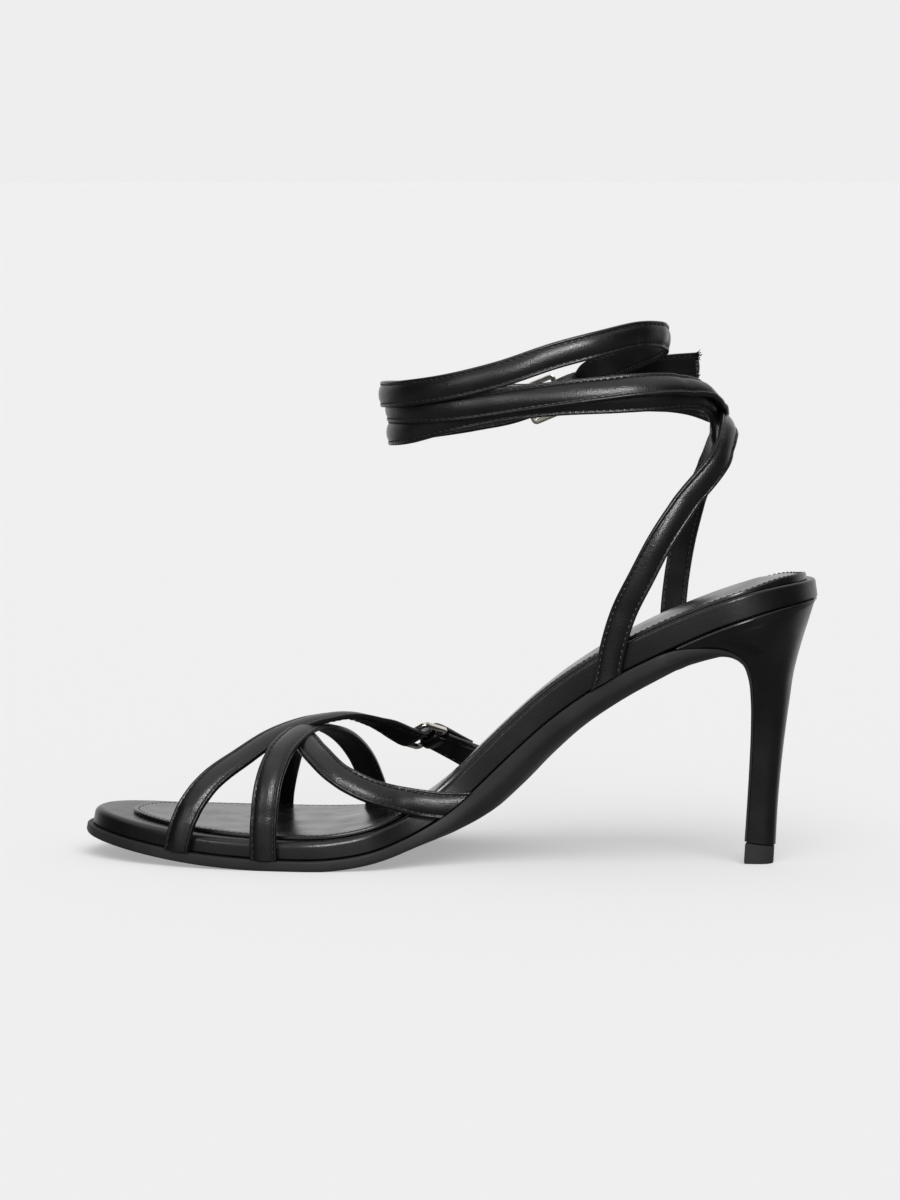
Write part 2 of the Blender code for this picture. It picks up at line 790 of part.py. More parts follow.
def toe_outward(point):
    along = np.interp(point[0], last_x, last_along)
    pitch = np.interp(along, last_along, last_pitch)
    foot = on_last(along, 0.0, 0.0)
    up = np.array([math.sin(pitch), 0.0, math.cos(pitch)])
    ahead = np.array([math.cos(pitch), 0.0, -math.sin(pitch)])
    side = 1 if point[1] > 0 else -1
    spread = side * (edge(along + 2.0, side) - edge(along - 2.0, side)) / 4.0
    wide = TOE_FLATTEN * abs(point[1])
    return np.array([0.0, side * wide, 0.0]) - ahead * spread * wide + up * max(0.0, (point - foot) @ up)


def ankle_outward(point):
    turned = ramp(point[2], TURN_LOW, TURN_HIGH)
    return np.array([turned * (point[0] - ANKLE_AXIS) / ANKLE_LONG ** 2, point[1] / ANKLE_WIDE ** 2, 0.0])


lean_table = Table(LEAN_COLUMNS, LEAN_ROWS)


def wound_outward(point):
    """Outward for the strap wound round the ankle, which leans in behind the leg."""
    flat = ankle_outward(point)
    lean = lean_table.at("lean", min(max(point[0], LEAN_ROWS[0][0]), LEAN_ROWS[-1][0]))
    lean = lean * ramp(point[2], *LEAN_RISE) * ramp(point[2], *LEAN_FALL) * ramp(point[1], *LEAN_ACROSS)
    return flat + np.array([0.0, 0.0, math.tan(math.radians(lean)) * np.linalg.norm(flat)])


def band_section(width, thick, rounding):
    half = width / 2
    deep = thick / 2
    corner = [
        (half - rounding, deep),
        (half, deep - rounding),
        (half, rounding - deep),
        (half - rounding, -deep),
    ]
    return corner + [(-across, -out) for across, out in corner]


def axes_at(line, number, outward):
    before = line[max(number - 1, 0)]
    after = line[min(number + 1, len(line) - 1)]
    run = unit(after - before)
    out = outward(line[number])
    out = unit(out - run * (out @ run))
    return run, np.cross(out, run), out


def no_lift(travel):
    return 0.0


def swept_band(line, outward, width, thick=STRAP_THICK, lift=no_lift):
    section = band_section(width, thick, STRAP_ROUND * thick / STRAP_THICK)
    rings = []
    for number, travel in enumerate(travel_along(line)):
        run, side, out = axes_at(line, number, outward)
        middle = line[number] + out * lift(travel)
        rings.append([middle + side * a + out * b for a, b in section])
    return Shell().tube(rings)


def rod(line, side, radius):
    rings = []
    for number, point in enumerate(line):
        run = unit(line[min(number + 1, len(line) - 1)] - line[max(number - 1, 0)])
        out = np.cross(run, side)
        turns = [2 * math.pi * k / PRONG_SIDES for k in range(PRONG_SIDES)]
        rings.append([point + radius * (side * math.cos(a) + out * math.sin(a)) for a in turns])
    return Shell().tube(rings)


class Buckle:
    """A square frame, its prong and the loop of strap round its rear bar, seated on a strap."""

    def __init__(self, centre, run, side, out):
        self.centre = centre
        self.run = run
        self.side = side
        self.out = out

    def at(self, along, above):
        return self.centre + self.run * along + self.out * above

    def frame(self, name, material):
        corner_x = FRAME_LONG / 2 - BAR_WIDE / 2 - FRAME_CORNER
        corner_y = FRAME_WIDE / 2 - BAR_WIDE / 2 - FRAME_CORNER
        section = band_section(BAR_WIDE, BAR_THICK, BAR_BEVEL)
        rings = []
        for quarter, (sign_x, sign_y) in enumerate(((1, 1), (-1, 1), (-1, -1), (1, -1))):
            corner = self.at(sign_x * corner_x, 0.0) + self.side * sign_y * corner_y
            for step in range(3):
                angle = math.radians(90 * quarter + 45 * step)
                away = self.run * math.cos(angle) + self.side * math.sin(angle)
                middle = corner + away * FRAME_CORNER
                rings.append([middle + away * a + self.out * b for a, b in section])
        return Shell().tube(rings, closed=True).make(name, material)

    def hold(self, outward):
        """An outward direction that stays square to the buckle while the strap is close to it."""
        def held(point):
            share = ramp(np.linalg.norm(point - self.centre), HOLD_END, HOLD_START)
            return unit(outward(point)) * (1 - share) + self.out * share
        return held

    def line(self, rows, step):
        return route([self.at(**row) for row in named(BUCKLE_COLUMNS, rows)], step)

    def prong(self, name, material):
        return rod(self.line(PRONG_ROWS, PRONG_STEP), self.side, PRONG_RADIUS).make(name, material)

    def prong_hole(self):
        return rod(self.line(PRONG_ROWS, PRONG_STEP), self.side, PRONG_RADIUS + GAP)

    def loop(self):
        axis = self.at(LOOP_AXIS, 0.0)
        line = self.line(LOOP_ROWS, LOOP_STEP)
        return swept_band(line, lambda point: point - axis, LOOP_WIDTH, LOOP_THICK)


def combine(name, shells, cutters, material):
    """One body: the first shell with the others joined to it and the cutters taken away."""
    body = shells[0].make(name, material)
    tools = [("UNION", shell.make(name + " joined", material)) for shell in shells[1:]]
    tools = tools + [("DIFFERENCE", shell.make(name + " cutter", material)) for shell in cutters]
    for operation, tool in tools:
        step = body.modifiers.new(operation.lower(), "BOOLEAN")
        step.operation = operation
        step.solver = "EXACT"
        step.use_self = True
        step.object = tool
    bpy.context.view_layer.update()
    solid = bpy.data.meshes.new_from_object(body.evaluated_get(bpy.context.evaluated_depsgraph_get()))
    body.modifiers.clear()
    body.data = solid
    for operation, tool in tools:
        bpy.data.objects.remove(tool)
    return body


def lift_from(rows):
    table = Table(("travel", "lift"), rows)
    first = rows[0][0]
    last = rows[-1][0]
    return lambda travel: float(table.at("lift", min(max(travel, first), last)))


def seat_buckle(line, place, outward, lift):
    """The buckle over the point of a strap line nearest to a place, and its travel along that line."""
    number = nearest_number(line, place)
    run, side, out = axes_at(line, number, outward)
    return Buckle(line[number] + out * lift, run, side, out), travel_along(line)[number]


def under_joint():
    levels = []
    for drop in (0.0, TRIM_DEEP):
        rows = []
        for along in np.linspace(TRIM_START, TRIM_END, TRIM_STEPS):
            depth = -sole.at("thick", along) - drop
            rows.append([on_last(along, TRIM_HALF, depth), on_last(along, -TRIM_HALF, depth)])
        levels.append(rows)
    return Shell().stack(levels)


# Toe straps: A lies outermost and carries the buckle, over its own base strap on the outer side
points_a = [on_last(**row) for row in named(TOE_COLUMNS, STRAP_A_ROWS)]
points_b = [on_last(**row) for row in named(TOE_COLUMNS, STRAP_B_ROWS)]
points_c = [on_last(**row) for row in named(TOE_COLUMNS, STRAP_C_ROWS)]
line_a = route(points_a, TOE_STEP)
line_b = route(points_b, TOE_STEP)
line_c = route(points_c, TOE_STEP)
travel_a = travel_along(line_a)
toe_buckle, toe_place = seat_buckle(line_a, points_a[TOE_BUCKLE_ROW], toe_outward, TOE_FRAME_LIFT)
tail_end = int(np.argmin(abs(travel_a - toe_place - TOE_TAIL)))
base_start = int(np.argmin(abs(travel_a - toe_place - BAR_CENTRE - BASE_START)))
lift_a = lift_from((
    (toe_place - TOE_LIFT_START, 0.0),
    (toe_place - BAR_CENTRE, TOE_FRAME_LIFT + UNDER_BAR),
    (toe_place + BAR_CENTRE, TOE_FRAME_LIFT + OVER_LOOP),
    (toe_place + TOE_TAIL, TOE_TAIL_LIFT),
))
lift_base = lift_from((
    (0.0, TOE_FRAME_LIFT),
    (BASE_SETTLE, 0.0),
))
toe_held = toe_buckle.hold(toe_outward)
toe_shells = [
    swept_band(line_a[:tail_end + 1], toe_held, TOE_STRAP_WIDTH, lift=lift_a),
    swept_band(line_c, toe_outward, TOE_STRAP_WIDTH),
    swept_band(line_b, toe_outward, TOE_STRAP_WIDTH),
    swept_band(line_a[base_start:], toe_held, TOE_BASE_WIDTH, lift=lift_base),
    toe_buckle.loop(),
]
combine("toe_straps", toe_shells, [under_joint(), toe_buckle.prong_hole()], strap_leather)
toe_buckle.frame("toe_buckle", toe_metal)
toe_buckle.prong("toe_prong", toe_prong_metal)

# Ankle straps: F passes through the buckle, N winds round the ankle and holds the buckle's rear bar
points_f = [np.array(row) for row in STRAP_F_ROWS]
line_f = route(points_f, ANKLE_STEP)
travel_f = travel_along(line_f)
ankle_buckle, ankle_place = seat_buckle(line_f, points_f[ANKLE_BUCKLE_ROW], ankle_outward, ANKLE_FRAME_LIFT)
lift_f = lift_from((
    (ankle_place - ANKLE_LIFT_START, 0.0),
    (ankle_place - BAR_CENTRE, ANKLE_FRAME_LIFT + UNDER_BAR),
    (ankle_place + BAR_CENTRE, ANKLE_FRAME_LIFT + OVER_LOOP),
    (ankle_place + ANKLE_TAIL, ANKLE_TAIL_LIFT),
    (travel_f[-1], 0.0),
))
end_points = [ankle_buckle.at(**row) for row in named(BUCKLE_COLUMNS, ANKLE_END_ROWS)]
line_n = route([np.array(row) for row in STRAP_N_ROWS] + end_points, ANKLE_STEP)
ankle_shells = [
    swept_band(line_n, wound_outward, ANKLE_STRAP_WIDTH),
    swept_band(line_f, ankle_buckle.hold(ankle_outward), ANKLE_STRAP_WIDTH, lift=lift_f),
    ankle_buckle.loop(),
]
combine("ankle_straps", ankle_shells, [under_joint(), ankle_buckle.prong_hole()], ankle_leather)
ankle_buckle.frame("ankle_buckle", ankle_metal)
ankle_buckle.prong("ankle_prong", ankle_prong_metal)
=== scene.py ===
# Looks of a strappy high-heeled sandal for the right foot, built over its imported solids.
# Sizes are in millimetres from the back of the footbed and repeat the part's own, apart from softer edges.
# X runs towards the toe, Y towards the inner side of the foot, Z up; ORIGIN moves the middle to zero.
import math

import bmesh
import bpy
import numpy as np
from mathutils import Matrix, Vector


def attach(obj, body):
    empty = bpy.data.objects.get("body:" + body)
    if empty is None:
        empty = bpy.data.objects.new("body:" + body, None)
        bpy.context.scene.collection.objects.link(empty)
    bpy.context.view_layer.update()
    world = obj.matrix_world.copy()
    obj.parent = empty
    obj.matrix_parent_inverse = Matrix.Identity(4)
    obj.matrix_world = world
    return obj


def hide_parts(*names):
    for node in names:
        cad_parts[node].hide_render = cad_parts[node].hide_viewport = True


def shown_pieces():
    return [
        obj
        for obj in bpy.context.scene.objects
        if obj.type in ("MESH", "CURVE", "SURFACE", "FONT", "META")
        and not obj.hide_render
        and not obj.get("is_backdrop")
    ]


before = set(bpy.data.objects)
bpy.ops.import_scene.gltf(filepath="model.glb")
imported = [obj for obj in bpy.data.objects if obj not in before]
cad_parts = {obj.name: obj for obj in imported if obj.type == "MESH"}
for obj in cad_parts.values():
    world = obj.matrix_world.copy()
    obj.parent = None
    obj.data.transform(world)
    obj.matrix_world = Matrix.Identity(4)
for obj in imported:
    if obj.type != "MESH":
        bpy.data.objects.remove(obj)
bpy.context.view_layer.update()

# Main sizes
MM = 0.001
ORIGIN = np.array([112.91, -0.15, 0.0])
GAP = 0.3
LENGTH = 248.0
HEEL_ROUND = 27.0
TOE_ROUND = 56.0
TOE_POWER = 2.15
TOE_APEX = 6.0
APEX_START = 150.0
FOREFOOT_TOP = 9.1
LAST_STEP = 0.5
RIM_DROP = 2.2
EDGE_TUCK = 0.4
TUCK_HEIGHT = 0.4
DISH_FADE = 5.0
LIP = 1.7
TOE_STRAP_WIDTH = 8.4
TOE_BASE_WIDTH = 8.8
ANKLE_STRAP_WIDTH = 8.0
STRAP_THICK = 2.0

# The footbed, a row for each station along it from the heel
SOLE_COLUMNS = ("along", "pitch", "medial", "lateral", "thick", "cup", "bank", "round")
SOLE_ROWS = (
    (0, 8.0, 25.0, 25.0, 7.0, 1.4, 0.0, 0.9),
    (12, 14.0, 25.8, 25.8, 7.0, 1.4, 0.0, 0.9),
    (28, 19.5, 26.5, 26.5, 7.2, 1.2, 0.0, 0.9),
    (50, 25.4, 25.4, 26.6, 7.8, 1.0, 0.0, 0.9),
    (75, 34.0, 22.8, 27.4, 8.0, 0.8, 0.03, 0.9),
    (100, 43.0, 21.2, 29.8, 7.6, 0.6, 0.045, 0.9),
    (124, 45.4, 21.0, 33.4, 7.3, 0.4, 0.045, 1.0),
    (142, 31.2, 25.5, 37.0, 6.8, 0.2, 0.025, 1.4),
    (160, 13.4, 36.0, 39.4, 6.2, 0.0, 0.0, 2.0),
    (178, 1.0, 40.0, 40.5, 5.7, 0.0, 0.0, 2.2),
    (198, -2.6, 39.0, 38.5, 5.5, 0.0, 0.0, 2.2),
    (225, -7.0, 36.5, 34.5, 5.4, 0.0, 0.0, 2.2),
    (248, -10.5, 34.0, 31.0, 5.3, 0.0, 0.0, 2.2),
)

# The sock: its inset, its edge from the top down, its raised back, its dome and its stitches
SOCK_INSET = 3.6
SOCK_INSET_HEEL = 2.4
SOCK_NARROW = (60.0, 150.0)
SOCK_BACK = 2.6
SOCK_FRONT = 12.0
SOCK_EDGE_COLUMNS = ("inward", "height")
SOCK_EDGE_ROWS = (
    (3.0, 1.0),
    (1.9, 0.97),
    (1.4, 0.86),
    (0.9, 0.97),
    (0.35, 1.0),
    (0.1, 0.85),
    (0.0, 0.6),
    (0.0, 0.0),
)
SOCK_LIFT = 1.1
SOCK_LIFT_FROM = 24.0
SOCK_TILT = 20.0
SOCK_DOME = 2.2
SOCK_DOME_BACK = (6.0, 18.0)
SOCK_DOME_FRONT = (175.0, 135.0)
SOCK_STITCH_SINK = 0.22
SOCK_SINK_SPAN = (66.0, 84.0)
SOCK_PITCH = 2.05
SOCK_STITCH = 1.4
SOCK_THREAD = 0.27
SOCK_STITCH_HEIGHT = 0.95
SOCK_STITCH_INWARD = 1.4

# The outsole, a row for each station; behind LIP_FRONT the stations run on down the front of the heel
OUTSOLE_COLUMNS = ("along", "edge", "belly")
OUTSOLE_ROWS = (
    (-40, 0.8, 0.8),
    (10, 0.9, 0.9),
    (22, 1.1, 1.4),
    (30, 1.4, 3.0),
    (36, 1.9, 4.6),
    (42, 2.8, 6.2),
    (48, 3.6, 7.2),
    (60, 4.0, 7.5),
    (75, 4.2, 7.3),
    (95, 4.4, 6.9),
    (108, 4.4, 7.1),
    (118, 4.4, 7.5),
    (128, 4.1, 7.4),
    (138, 3.8, 6.0),
    (148, 3.5, 4.4),
    (160, 3.3, 3.6),
    (200, 3.4, 3.6),
    (248, 3.0, 3.0),
)
OUTSOLE_EDGE_COLUMNS = ("inward", "share")
OUTSOLE_EDGE_ROWS = (
    (0.45, 0.0),
    (0.2, 0.02),
    (0.05, 0.07),
    (0.0, 0.16),
    (0.0, 0.6),
    (0.1, 0.75),
    (0.35, 0.9),
)
BELLY_INSET = 0.7
BELLY_POWER = 3.0
LIP_FRONT = 51.0
LIP_GAP = 1.0
FLAP_END = 0.2

# The heel, a row for each section from its front edge on the breast to its back
HEEL_COLUMNS = ("front_x", "front_z", "half", "back_x", "back_z")
HEEL_ROWS = (
    (40.0, 67.9, 25.2, 0.1, 80.7),
    (36.5, 68.3, 24.7, 0.8, 78.4),
    (32.0, 68.4, 23.6, 1.7, 75.5),
    (26.5, 67.9, 21.0, 2.8, 72.0),
    (22.4, 66.0, 17.3, 4.0, 68.0),
    (19.6, 63.0, 13.8, 5.2, 63.5),
    (18.3, 58.5, 10.8, 6.4, 58.0),
    (17.8, 51.0, 8.2, 7.4, 50.5),
    (17.9, 42.0, 6.6, 8.6, 41.5),
    (18.4, 31.0, 5.5, 9.8, 30.5),
    (19.1, 19.0, 4.8, 10.8, 18.5),
    (19.9, 6.8, 4.4, 11.4, 5.9),
)
HEEL_TIP_ROWS = (
    (20.0, 6.5, 3.9, 12.2, 5.6),
    (20.4, 6.35, 4.2, 11.8, 5.45),
    (20.5, 6.0, 4.2, 11.8, 5.1),
    (20.8, 0.8, 4.2, 12.0, 0.8),
    (20.7, 0.2, 4.1, 12.1, 0.2),
    (20.4, 0.0, 3.8, 12.4, 0.0),
)
HEEL_FLAT = 0.42
SEAT_FRONT = 45.4
SEAT_TURN = 26.0
SEAT_BACK = 0.75
SEAT_INSET = 0.9
SEAT_COLUMNS = ("inward", "depth")
SEAT_ROWS = (
    (SEAT_INSET, 0.0),
    (0.45, 0.05),
    (0.2, 0.2),
    (0.05, 0.45),
    (0.0, 0.75),
)
HEEL_SEAM = 0.15

# The toe straps, a row for each bend: station, distance across, height over the footbed
TOE_COLUMNS = ("along", "across", "above")
STRAP_A_ROWS = (
    (216.0, 36.6, -11.0),
    (215.5, 36.9, -2.0),
    (214.0, 35.8, 5.5),
    (209.0, 30.8, 15.0),
    (199.0, 22.5, 23.6),
    (189.0, 14.2, 30.2),
    (176.0, 5.8, 33.9),
    (161.0, -1.2, 33.2),
    (148.5, -7.2, 28.6),
    (140.5, -14.0, 21.6),
    (137.2, -21.0, 17.4),
    (134.5, -28.5, 13.2),
    (132.0, -34.3, 8.2),
    (128.5, -35.9, 1.0),
    (125.0, -35.2, -6.0),
    (122.5, -34.6, -14.0),
)
STRAP_B_ROWS = (
    (198.0, -39.8, -11.0),
    (198.0, -39.9, -2.5),
    (197.5, -37.6, 4.0),
    (196.0, -32.5, 9.5),
    (193.0, -22.5, 16.8),
    (188.5, -7.0, 24.2),
    (184.5, 6.5, 28.8),
    (181.0, 15.5, 29.6),
    (174.0, 25.0, 26.0),
    (164.0, 30.8, 19.4),
    (153.0, 31.0, 11.6),
    (145.0, 28.4, 5.2),
    (139.5, 26.2, 0.0),
    (135.0, 25.0, -4.4),
    (131.0, 24.0, -8.3),
    (127.5, 23.4, -11.8),
)
STRAP_C_ROWS = (
    (166.0, -41.3, -12.0),
    (166.0, -41.4, -3.0),
    (166.0, -39.4, 3.0),
    (166.0, -34.5, 8.8),
    (166.5, -27.2, 16.5),
    (169.5, -15.0, 25.0),
    (174.0, -3.0, 29.8),
    (179.0, 8.5, 31.8),
    (182.5, 20.0, 30.2),
    (186.0, 31.5, 25.0),
    (187.8, 38.4, 16.5),
    (188.3, 40.8, 8.0),
    (188.4, 41.3, 0.0),
    (188.2, 41.2, -5.0),
    (188.0, 41.2, -12.0),
)
TOE_BUCKLE_ROW = 10
TOE_FLATTEN = 0.56

# The ankle straps, a row for each bend: distances ahead of the heel, to the inner side and up
STRAP_N_ROWS = (
    (63.3, 25.0, 50.0),
    (61.1, 25.2, 58.0),
    (59.3, 25.8, 67.5),
    (55.8, 27.2, 79.0),
    (50.1, 28.6, 90.4),
    (44.3, 28.5, 101.5),
    (37.4, 25.2, 112.4),
    (26.7, 18.7, 127.0),
    (25.6, 11.2, 134.0),
    (27.5, -2.0, 136.8),
    (32.0, -13.5, 138.4),
    (41.4, -23.0, 140.8),
    (55.2, -28.4, 141.8),
    (73.4, -30.2, 142.0),
    (92.4, -30.6, 141.8),
    (109.7, -27.8, 141.4),
    (123.5, -19.2, 139.8),
    (131.1, -6.0, 139.5),
    (130.6, 7.0, 139.5),
    (122.9, 20.0, 139.8),
    (108.7, 28.8, 140.9),
    (85.5, 31.6, 144.3),
    (62.5, 31.2, 147.2),
    (47.8, 27.4, 148.6),
    (38.0, 20.5, 148.2),
    (32.4, 14.0, 146.8),
    (30.2, 7.0, 143.6),
    (30.0, -1.0, 140.2),
    (33.4, -13.4, 140.2),
    (42.1, -24.4, 141.2),
    (56.4, -30.2, 141.4),
    (73.5, -32.0, 141.4),
    (92.5, -32.4, 141.6),
    (110.8, -29.4, 142.2),
    (125.6, -20.0, 143.0),
    (133.3, -6.0, 143.6),
    (132.6, 7.4, 144.0),
    (124.3, 21.6, 145.0),
    (108.6, 30.8, 147.6),
    (93.4, 33.2, 151.4),
    (75.5, 31.6, 157.4),
    (62.3, 27.4, 160.9),
    (52.3, 19.0, 163.2),
    (46.1, 6.6, 162.6),
    (47.1, -6.4, 159.8),
    (53.7, -16.4, 156.6),
    (62.9, -24.4, 153.0),
    (72.9, -30.4, 149.2),
)
STRAP_F_ROWS = (
    (46.8, -28.4, 57.0),
    (46.6, -28.4, 66.0),
    (46.4, -28.5, 74.0),
    (45.3, -28.8, 85.4),
    (43.2, -27.8, 97.1),
    (39.7, -24.0, 108.9),
    (34.2, -14.0, 122.0),
    (31.4, -4.5, 131.0),
    (30.6, 3.0, 138.4),
    (31.8, 10.0, 143.0),
    (36.4, 17.2, 144.6),
    (45.2, 23.4, 144.4),
    (57.8, 27.8, 143.8),
    (77.7, 29.8, 142.8),
    (95.7, 29.0, 140.4),
    (109.9, 26.4, 137.2),
    (122.5, 18.6, 133.6),
    (130.3, 6.0, 132.2),
    (131.0, -8.0, 132.0),
    (123.7, -21.6, 132.8),
    (110.5, -31.4, 134.6),
    (97.8, -35.4, 137.2),
    (88.2, -36.0, 140.8),
    (78.7, -34.6, 145.0),
    (68.5, -31.8, 148.0),
    (56.2, -27.6, 150.4),
    (46.9, -24.0, 151.6),
    (38.2, -20.0, 152.4),
)
ANKLE_BUCKLE_ROW = 22
ANKLE_AXIS = 80.0
ANKLE_LONG = 52.0
ANKLE_WIDE = 31.0
TURN_LOW = 76.0
TURN_HIGH = 112.0

# How far the wound strap leans in, in degrees, where it turns behind the leg on the inner side
LEAN_COLUMNS = ("ahead", "lean")
LEAN_ROWS = (
    (26, 70),
    (29, 66),
    (33, 56),
    (40, 44),
    (62, 30),
    (95, 0),
)
LEAN_RISE = (130.0, 142.0)
LEAN_FALL = (156.0, 151.0)
LEAN_ACROSS = (-16.0, -2.0)
TOE_STEP = 4.5
ANKLE_STEP = 5.5

# The buckles: a frame, a prong and a strap loop, rows running along the strap and square to it
FRAME_LONG = 12.4
FRAME_WIDE = 13.2
FRAME_CORNER = 0.9
FRAME_CORNER_STEPS = 6
BAR_WIDE = 1.7
BAR_THICK = 1.4
BAR_BEVEL = 0.32
BAR_BEVEL_STEPS = 4
BAR_CENTRE = (FRAME_LONG - BAR_WIDE) / 2
BUCKLE_COLUMNS = ("along", "above")
PRONG_ROWS = (
    (2.9, 0.1),
    (0.0, 0.9),
    (-3.0, 1.35),
    (-5.35, 1.45),
    (-6.7, 1.25),
)
LOOP_ROWS = (
    (11.35, 0.55),
    (7.55, 1.35),
    (5.35, 1.5),
    (4.05, 0.95),
    (3.7, 0.0),
    (4.05, -0.95),
    (5.35, -1.5),
    (7.55, -1.35),
    (11.35, -0.55),
)
PRONG_RADIUS = 0.55
PRONG_SIDES = 14
PRONG_STEP = 0.3
PRONG_END = 0.55
PRONG_SWELL = 3.0
LOOP_STEP = 0.4
LOOP_WIDTH = 6.6
LOOP_THICK = 0.9
LOOP_AXIS = 5.95
HOLD_START = 9.0
HOLD_END = 20.0
UNDER_BAR = -BAR_THICK / 2 - GAP - STRAP_THICK / 2
OVER_LOOP = 1.4 + LOOP_THICK / 2 + STRAP_THICK / 2
TOE_FRAME_LIFT = 1.2
TOE_LIFT_START = 16.0
TOE_TAIL = 20.0
TOE_TAIL_LIFT = 1.9
BASE_START = 4.0
BASE_SETTLE = 12.0
ANKLE_FRAME_LIFT = 0.4
ANKLE_LIFT_START = 18.0
ANKLE_TAIL = 20.0
ANKLE_TAIL_LIFT = 1.2
ANKLE_END_ROWS = (
    (13.35, -0.5),
    (8.35, 0.0),
)

# How finely surfaces are laid out, over what reach directions are read, and from what angle edges are sharp
STRAP_STEP = 0.8
ROUTE_FINENESS = 24
BREAST_STEP = 0.5
BREAST_REACH = 0.8
SPREAD_REACH = 2.0
SOLE_STATIONS = 70
FLAP_STATIONS = 70
END_STATIONS = 22
EDGE_STEPS = 8
ACROSS = 12
HEEL_STEPS = 7
HEEL_FLAT_STEPS = 6
HEEL_ARC_STEPS = 20
SHARP_ANGLE = 40.0
FRAME_SHARP = 50.0
STRAP_SHARP = 70.0
SAME_POINT = 0.004
NO_LENGTH = 0.001
TOUCHING = 0.01

# The padded strap from its edge inwards, for its face and for its lining
STITCH_INWARD = 1.05
FACE_GROOVE = 0.46
FACE_CROWN = 1.27
LINING_GROOVE = -0.84
SECTION_COLUMNS = ("inward", "out")
FACE_ROWS = (
    (0.0, 0.1),
    (0.06, 0.42),
    (0.22, 0.64),
    (0.5, 0.74),
    (0.8, 0.68),
    (STITCH_INWARD, FACE_GROOVE),
    (1.25, 0.52),
    (1.55, 0.72),
    (1.9, 0.88),
    (2.4, 1.06),
    (3.0, 1.2),
    (3.6, FACE_CROWN),
)
LINING_ROWS = (
    (0.0, -0.3),
    (0.06, -0.62),
    (0.3, -0.88),
    (0.8, -0.94),
    (1.1, LINING_GROOVE),
    (1.4, -0.94),
    (2.4, -1.0),
)

# The lining, a strip on the back of each strap
LINING_MARGIN = 0.3
LINING_SUNK = 0.15
LINING_PROUD = 0.14
LINING_FLAT = 0.9

# Creases: the bend they lie by, how far past it, how far they rise or sink, their width and their slant
CREASE_COLUMNS = ("bend", "past", "rise", "width", "slant")
CREASE_N_ROWS = (
    (3, 0.0, -0.12, 3.0, 0.4),
    (6, 1.0, -0.22, 2.2, 0.5),
    (7, -3.0, 0.12, 2.4, 0.6),
    (7, 2.0, -0.16, 1.8, 0.6),
    (8, 1.0, 0.12, 2.0, 0.4),
    (9, 0.0, -0.16, 1.8, 0.1),
    (10, -3.0, 0.12, 2.0, -0.3),
    (23, -2.0, -0.12, 2.6, 0.3),
    (24, 0.0, -0.25, 1.8, 0.3),
    (25, 0.0, 0.2, 1.8, 0.2),
    (26, 0.0, -0.3, 1.6, 0.0),
    (27, 2.0, 0.2, 1.8, -0.2),
    (28, 0.0, -0.25, 1.8, -0.3),
    (41, 1.0, -0.12, 2.6, 0.3),
    (42, 0.0, -0.22, 2.0, 0.2),
    (43, -2.0, 0.18, 1.8, 0.0),
    (43, 3.0, -0.26, 1.8, -0.1),
    (44, 2.0, -0.22, 1.8, -0.2),
    (46, 0.0, -0.14, 2.2, -0.4),
)
CREASE_F_ROWS = (
    (3, 0.0, -0.12, 3.0, 0.3),
    (6, 0.0, -0.22, 2.0, -0.5),
    (7, -1.0, 0.2, 1.8, -0.4),
    (7, 3.0, -0.28, 1.8, -0.3),
    (8, 2.0, 0.18, 1.8, -0.1),
    (9, 1.0, -0.28, 1.8, 0.1),
    (10, 2.0, -0.2, 2.0, 0.3),
    (20, 0.0, -0.12, 2.4, 0.3),
    (24, 1.0, -0.15, 2.0, 0.3),
)
CREASE_A_ROWS = (
    (2, 0.0, -0.2, 1.8, 0.2),
    (3, -2.0, 0.14, 2.2, 0.3),
    (6, 2.0, -0.1, 3.0, 0.4),
    (9, 1.0, -0.16, 2.2, -0.3),
)
CREASE_B_ROWS = (
    (2, 0.0, -0.2, 1.8, 0.1),
    (3, 1.0, 0.12, 2.2, 0.2),
    (8, 0.0, -0.14, 2.6, 0.4),
    (9, 2.0, -0.18, 2.2, 0.4),
    (11, 0.0, -0.12, 2.0, 0.2),
)
CREASE_C_ROWS = (
    (2, 0.0, -0.2, 1.8, 0.0),
    (3, 1.0, 0.12, 2.2, 0.2),
    (9, 2.0, -0.16, 2.4, -0.3),
    (11, 0.0, -0.2, 1.8, 0.0),
)

# Punched holes: how far past the buckle they lie
HOLE_RADIUS = 0.85
HOLE_SIDES = 20
HOLE_RISE = 0.05
HOLE_DEPTH = 0.15
ANKLE_HOLES = (-22.0, -14.0, 21.0, 29.0)
TOE_HOLES = (-15.0, 13.5)

# Fibres at the cut end of the ankle strap's tail
FRAY_COLUMNS = ("height", "out", "length", "rise")
FRAY_ROWS = (
    (3.9, 0.2, 1.1, 0.9),
    (3.6, -0.3, 1.7, 0.3),
    (3.3, 0.4, 1.3, -0.5),
    (2.9, -0.1, 1.9, 0.4),
    (2.6, 0.3, 0.9, -0.3),
    (2.3, -0.4, 1.4, -0.8),
    (1.8, 0.1, 0.8, 0.3),
    (0.9, -0.2, 0.6, -0.2),
    (-0.4, 0.2, 0.5, 0.2),
    (-1.9, -0.1, 0.6, -0.3),
    (-3.2, 0.2, 0.7, 0.3),
)
FRAY_STEPS = 4
FRAY_RADIUS = 0.3
FRAY_TAPER = 0.6
FRAY_SIDES = 6

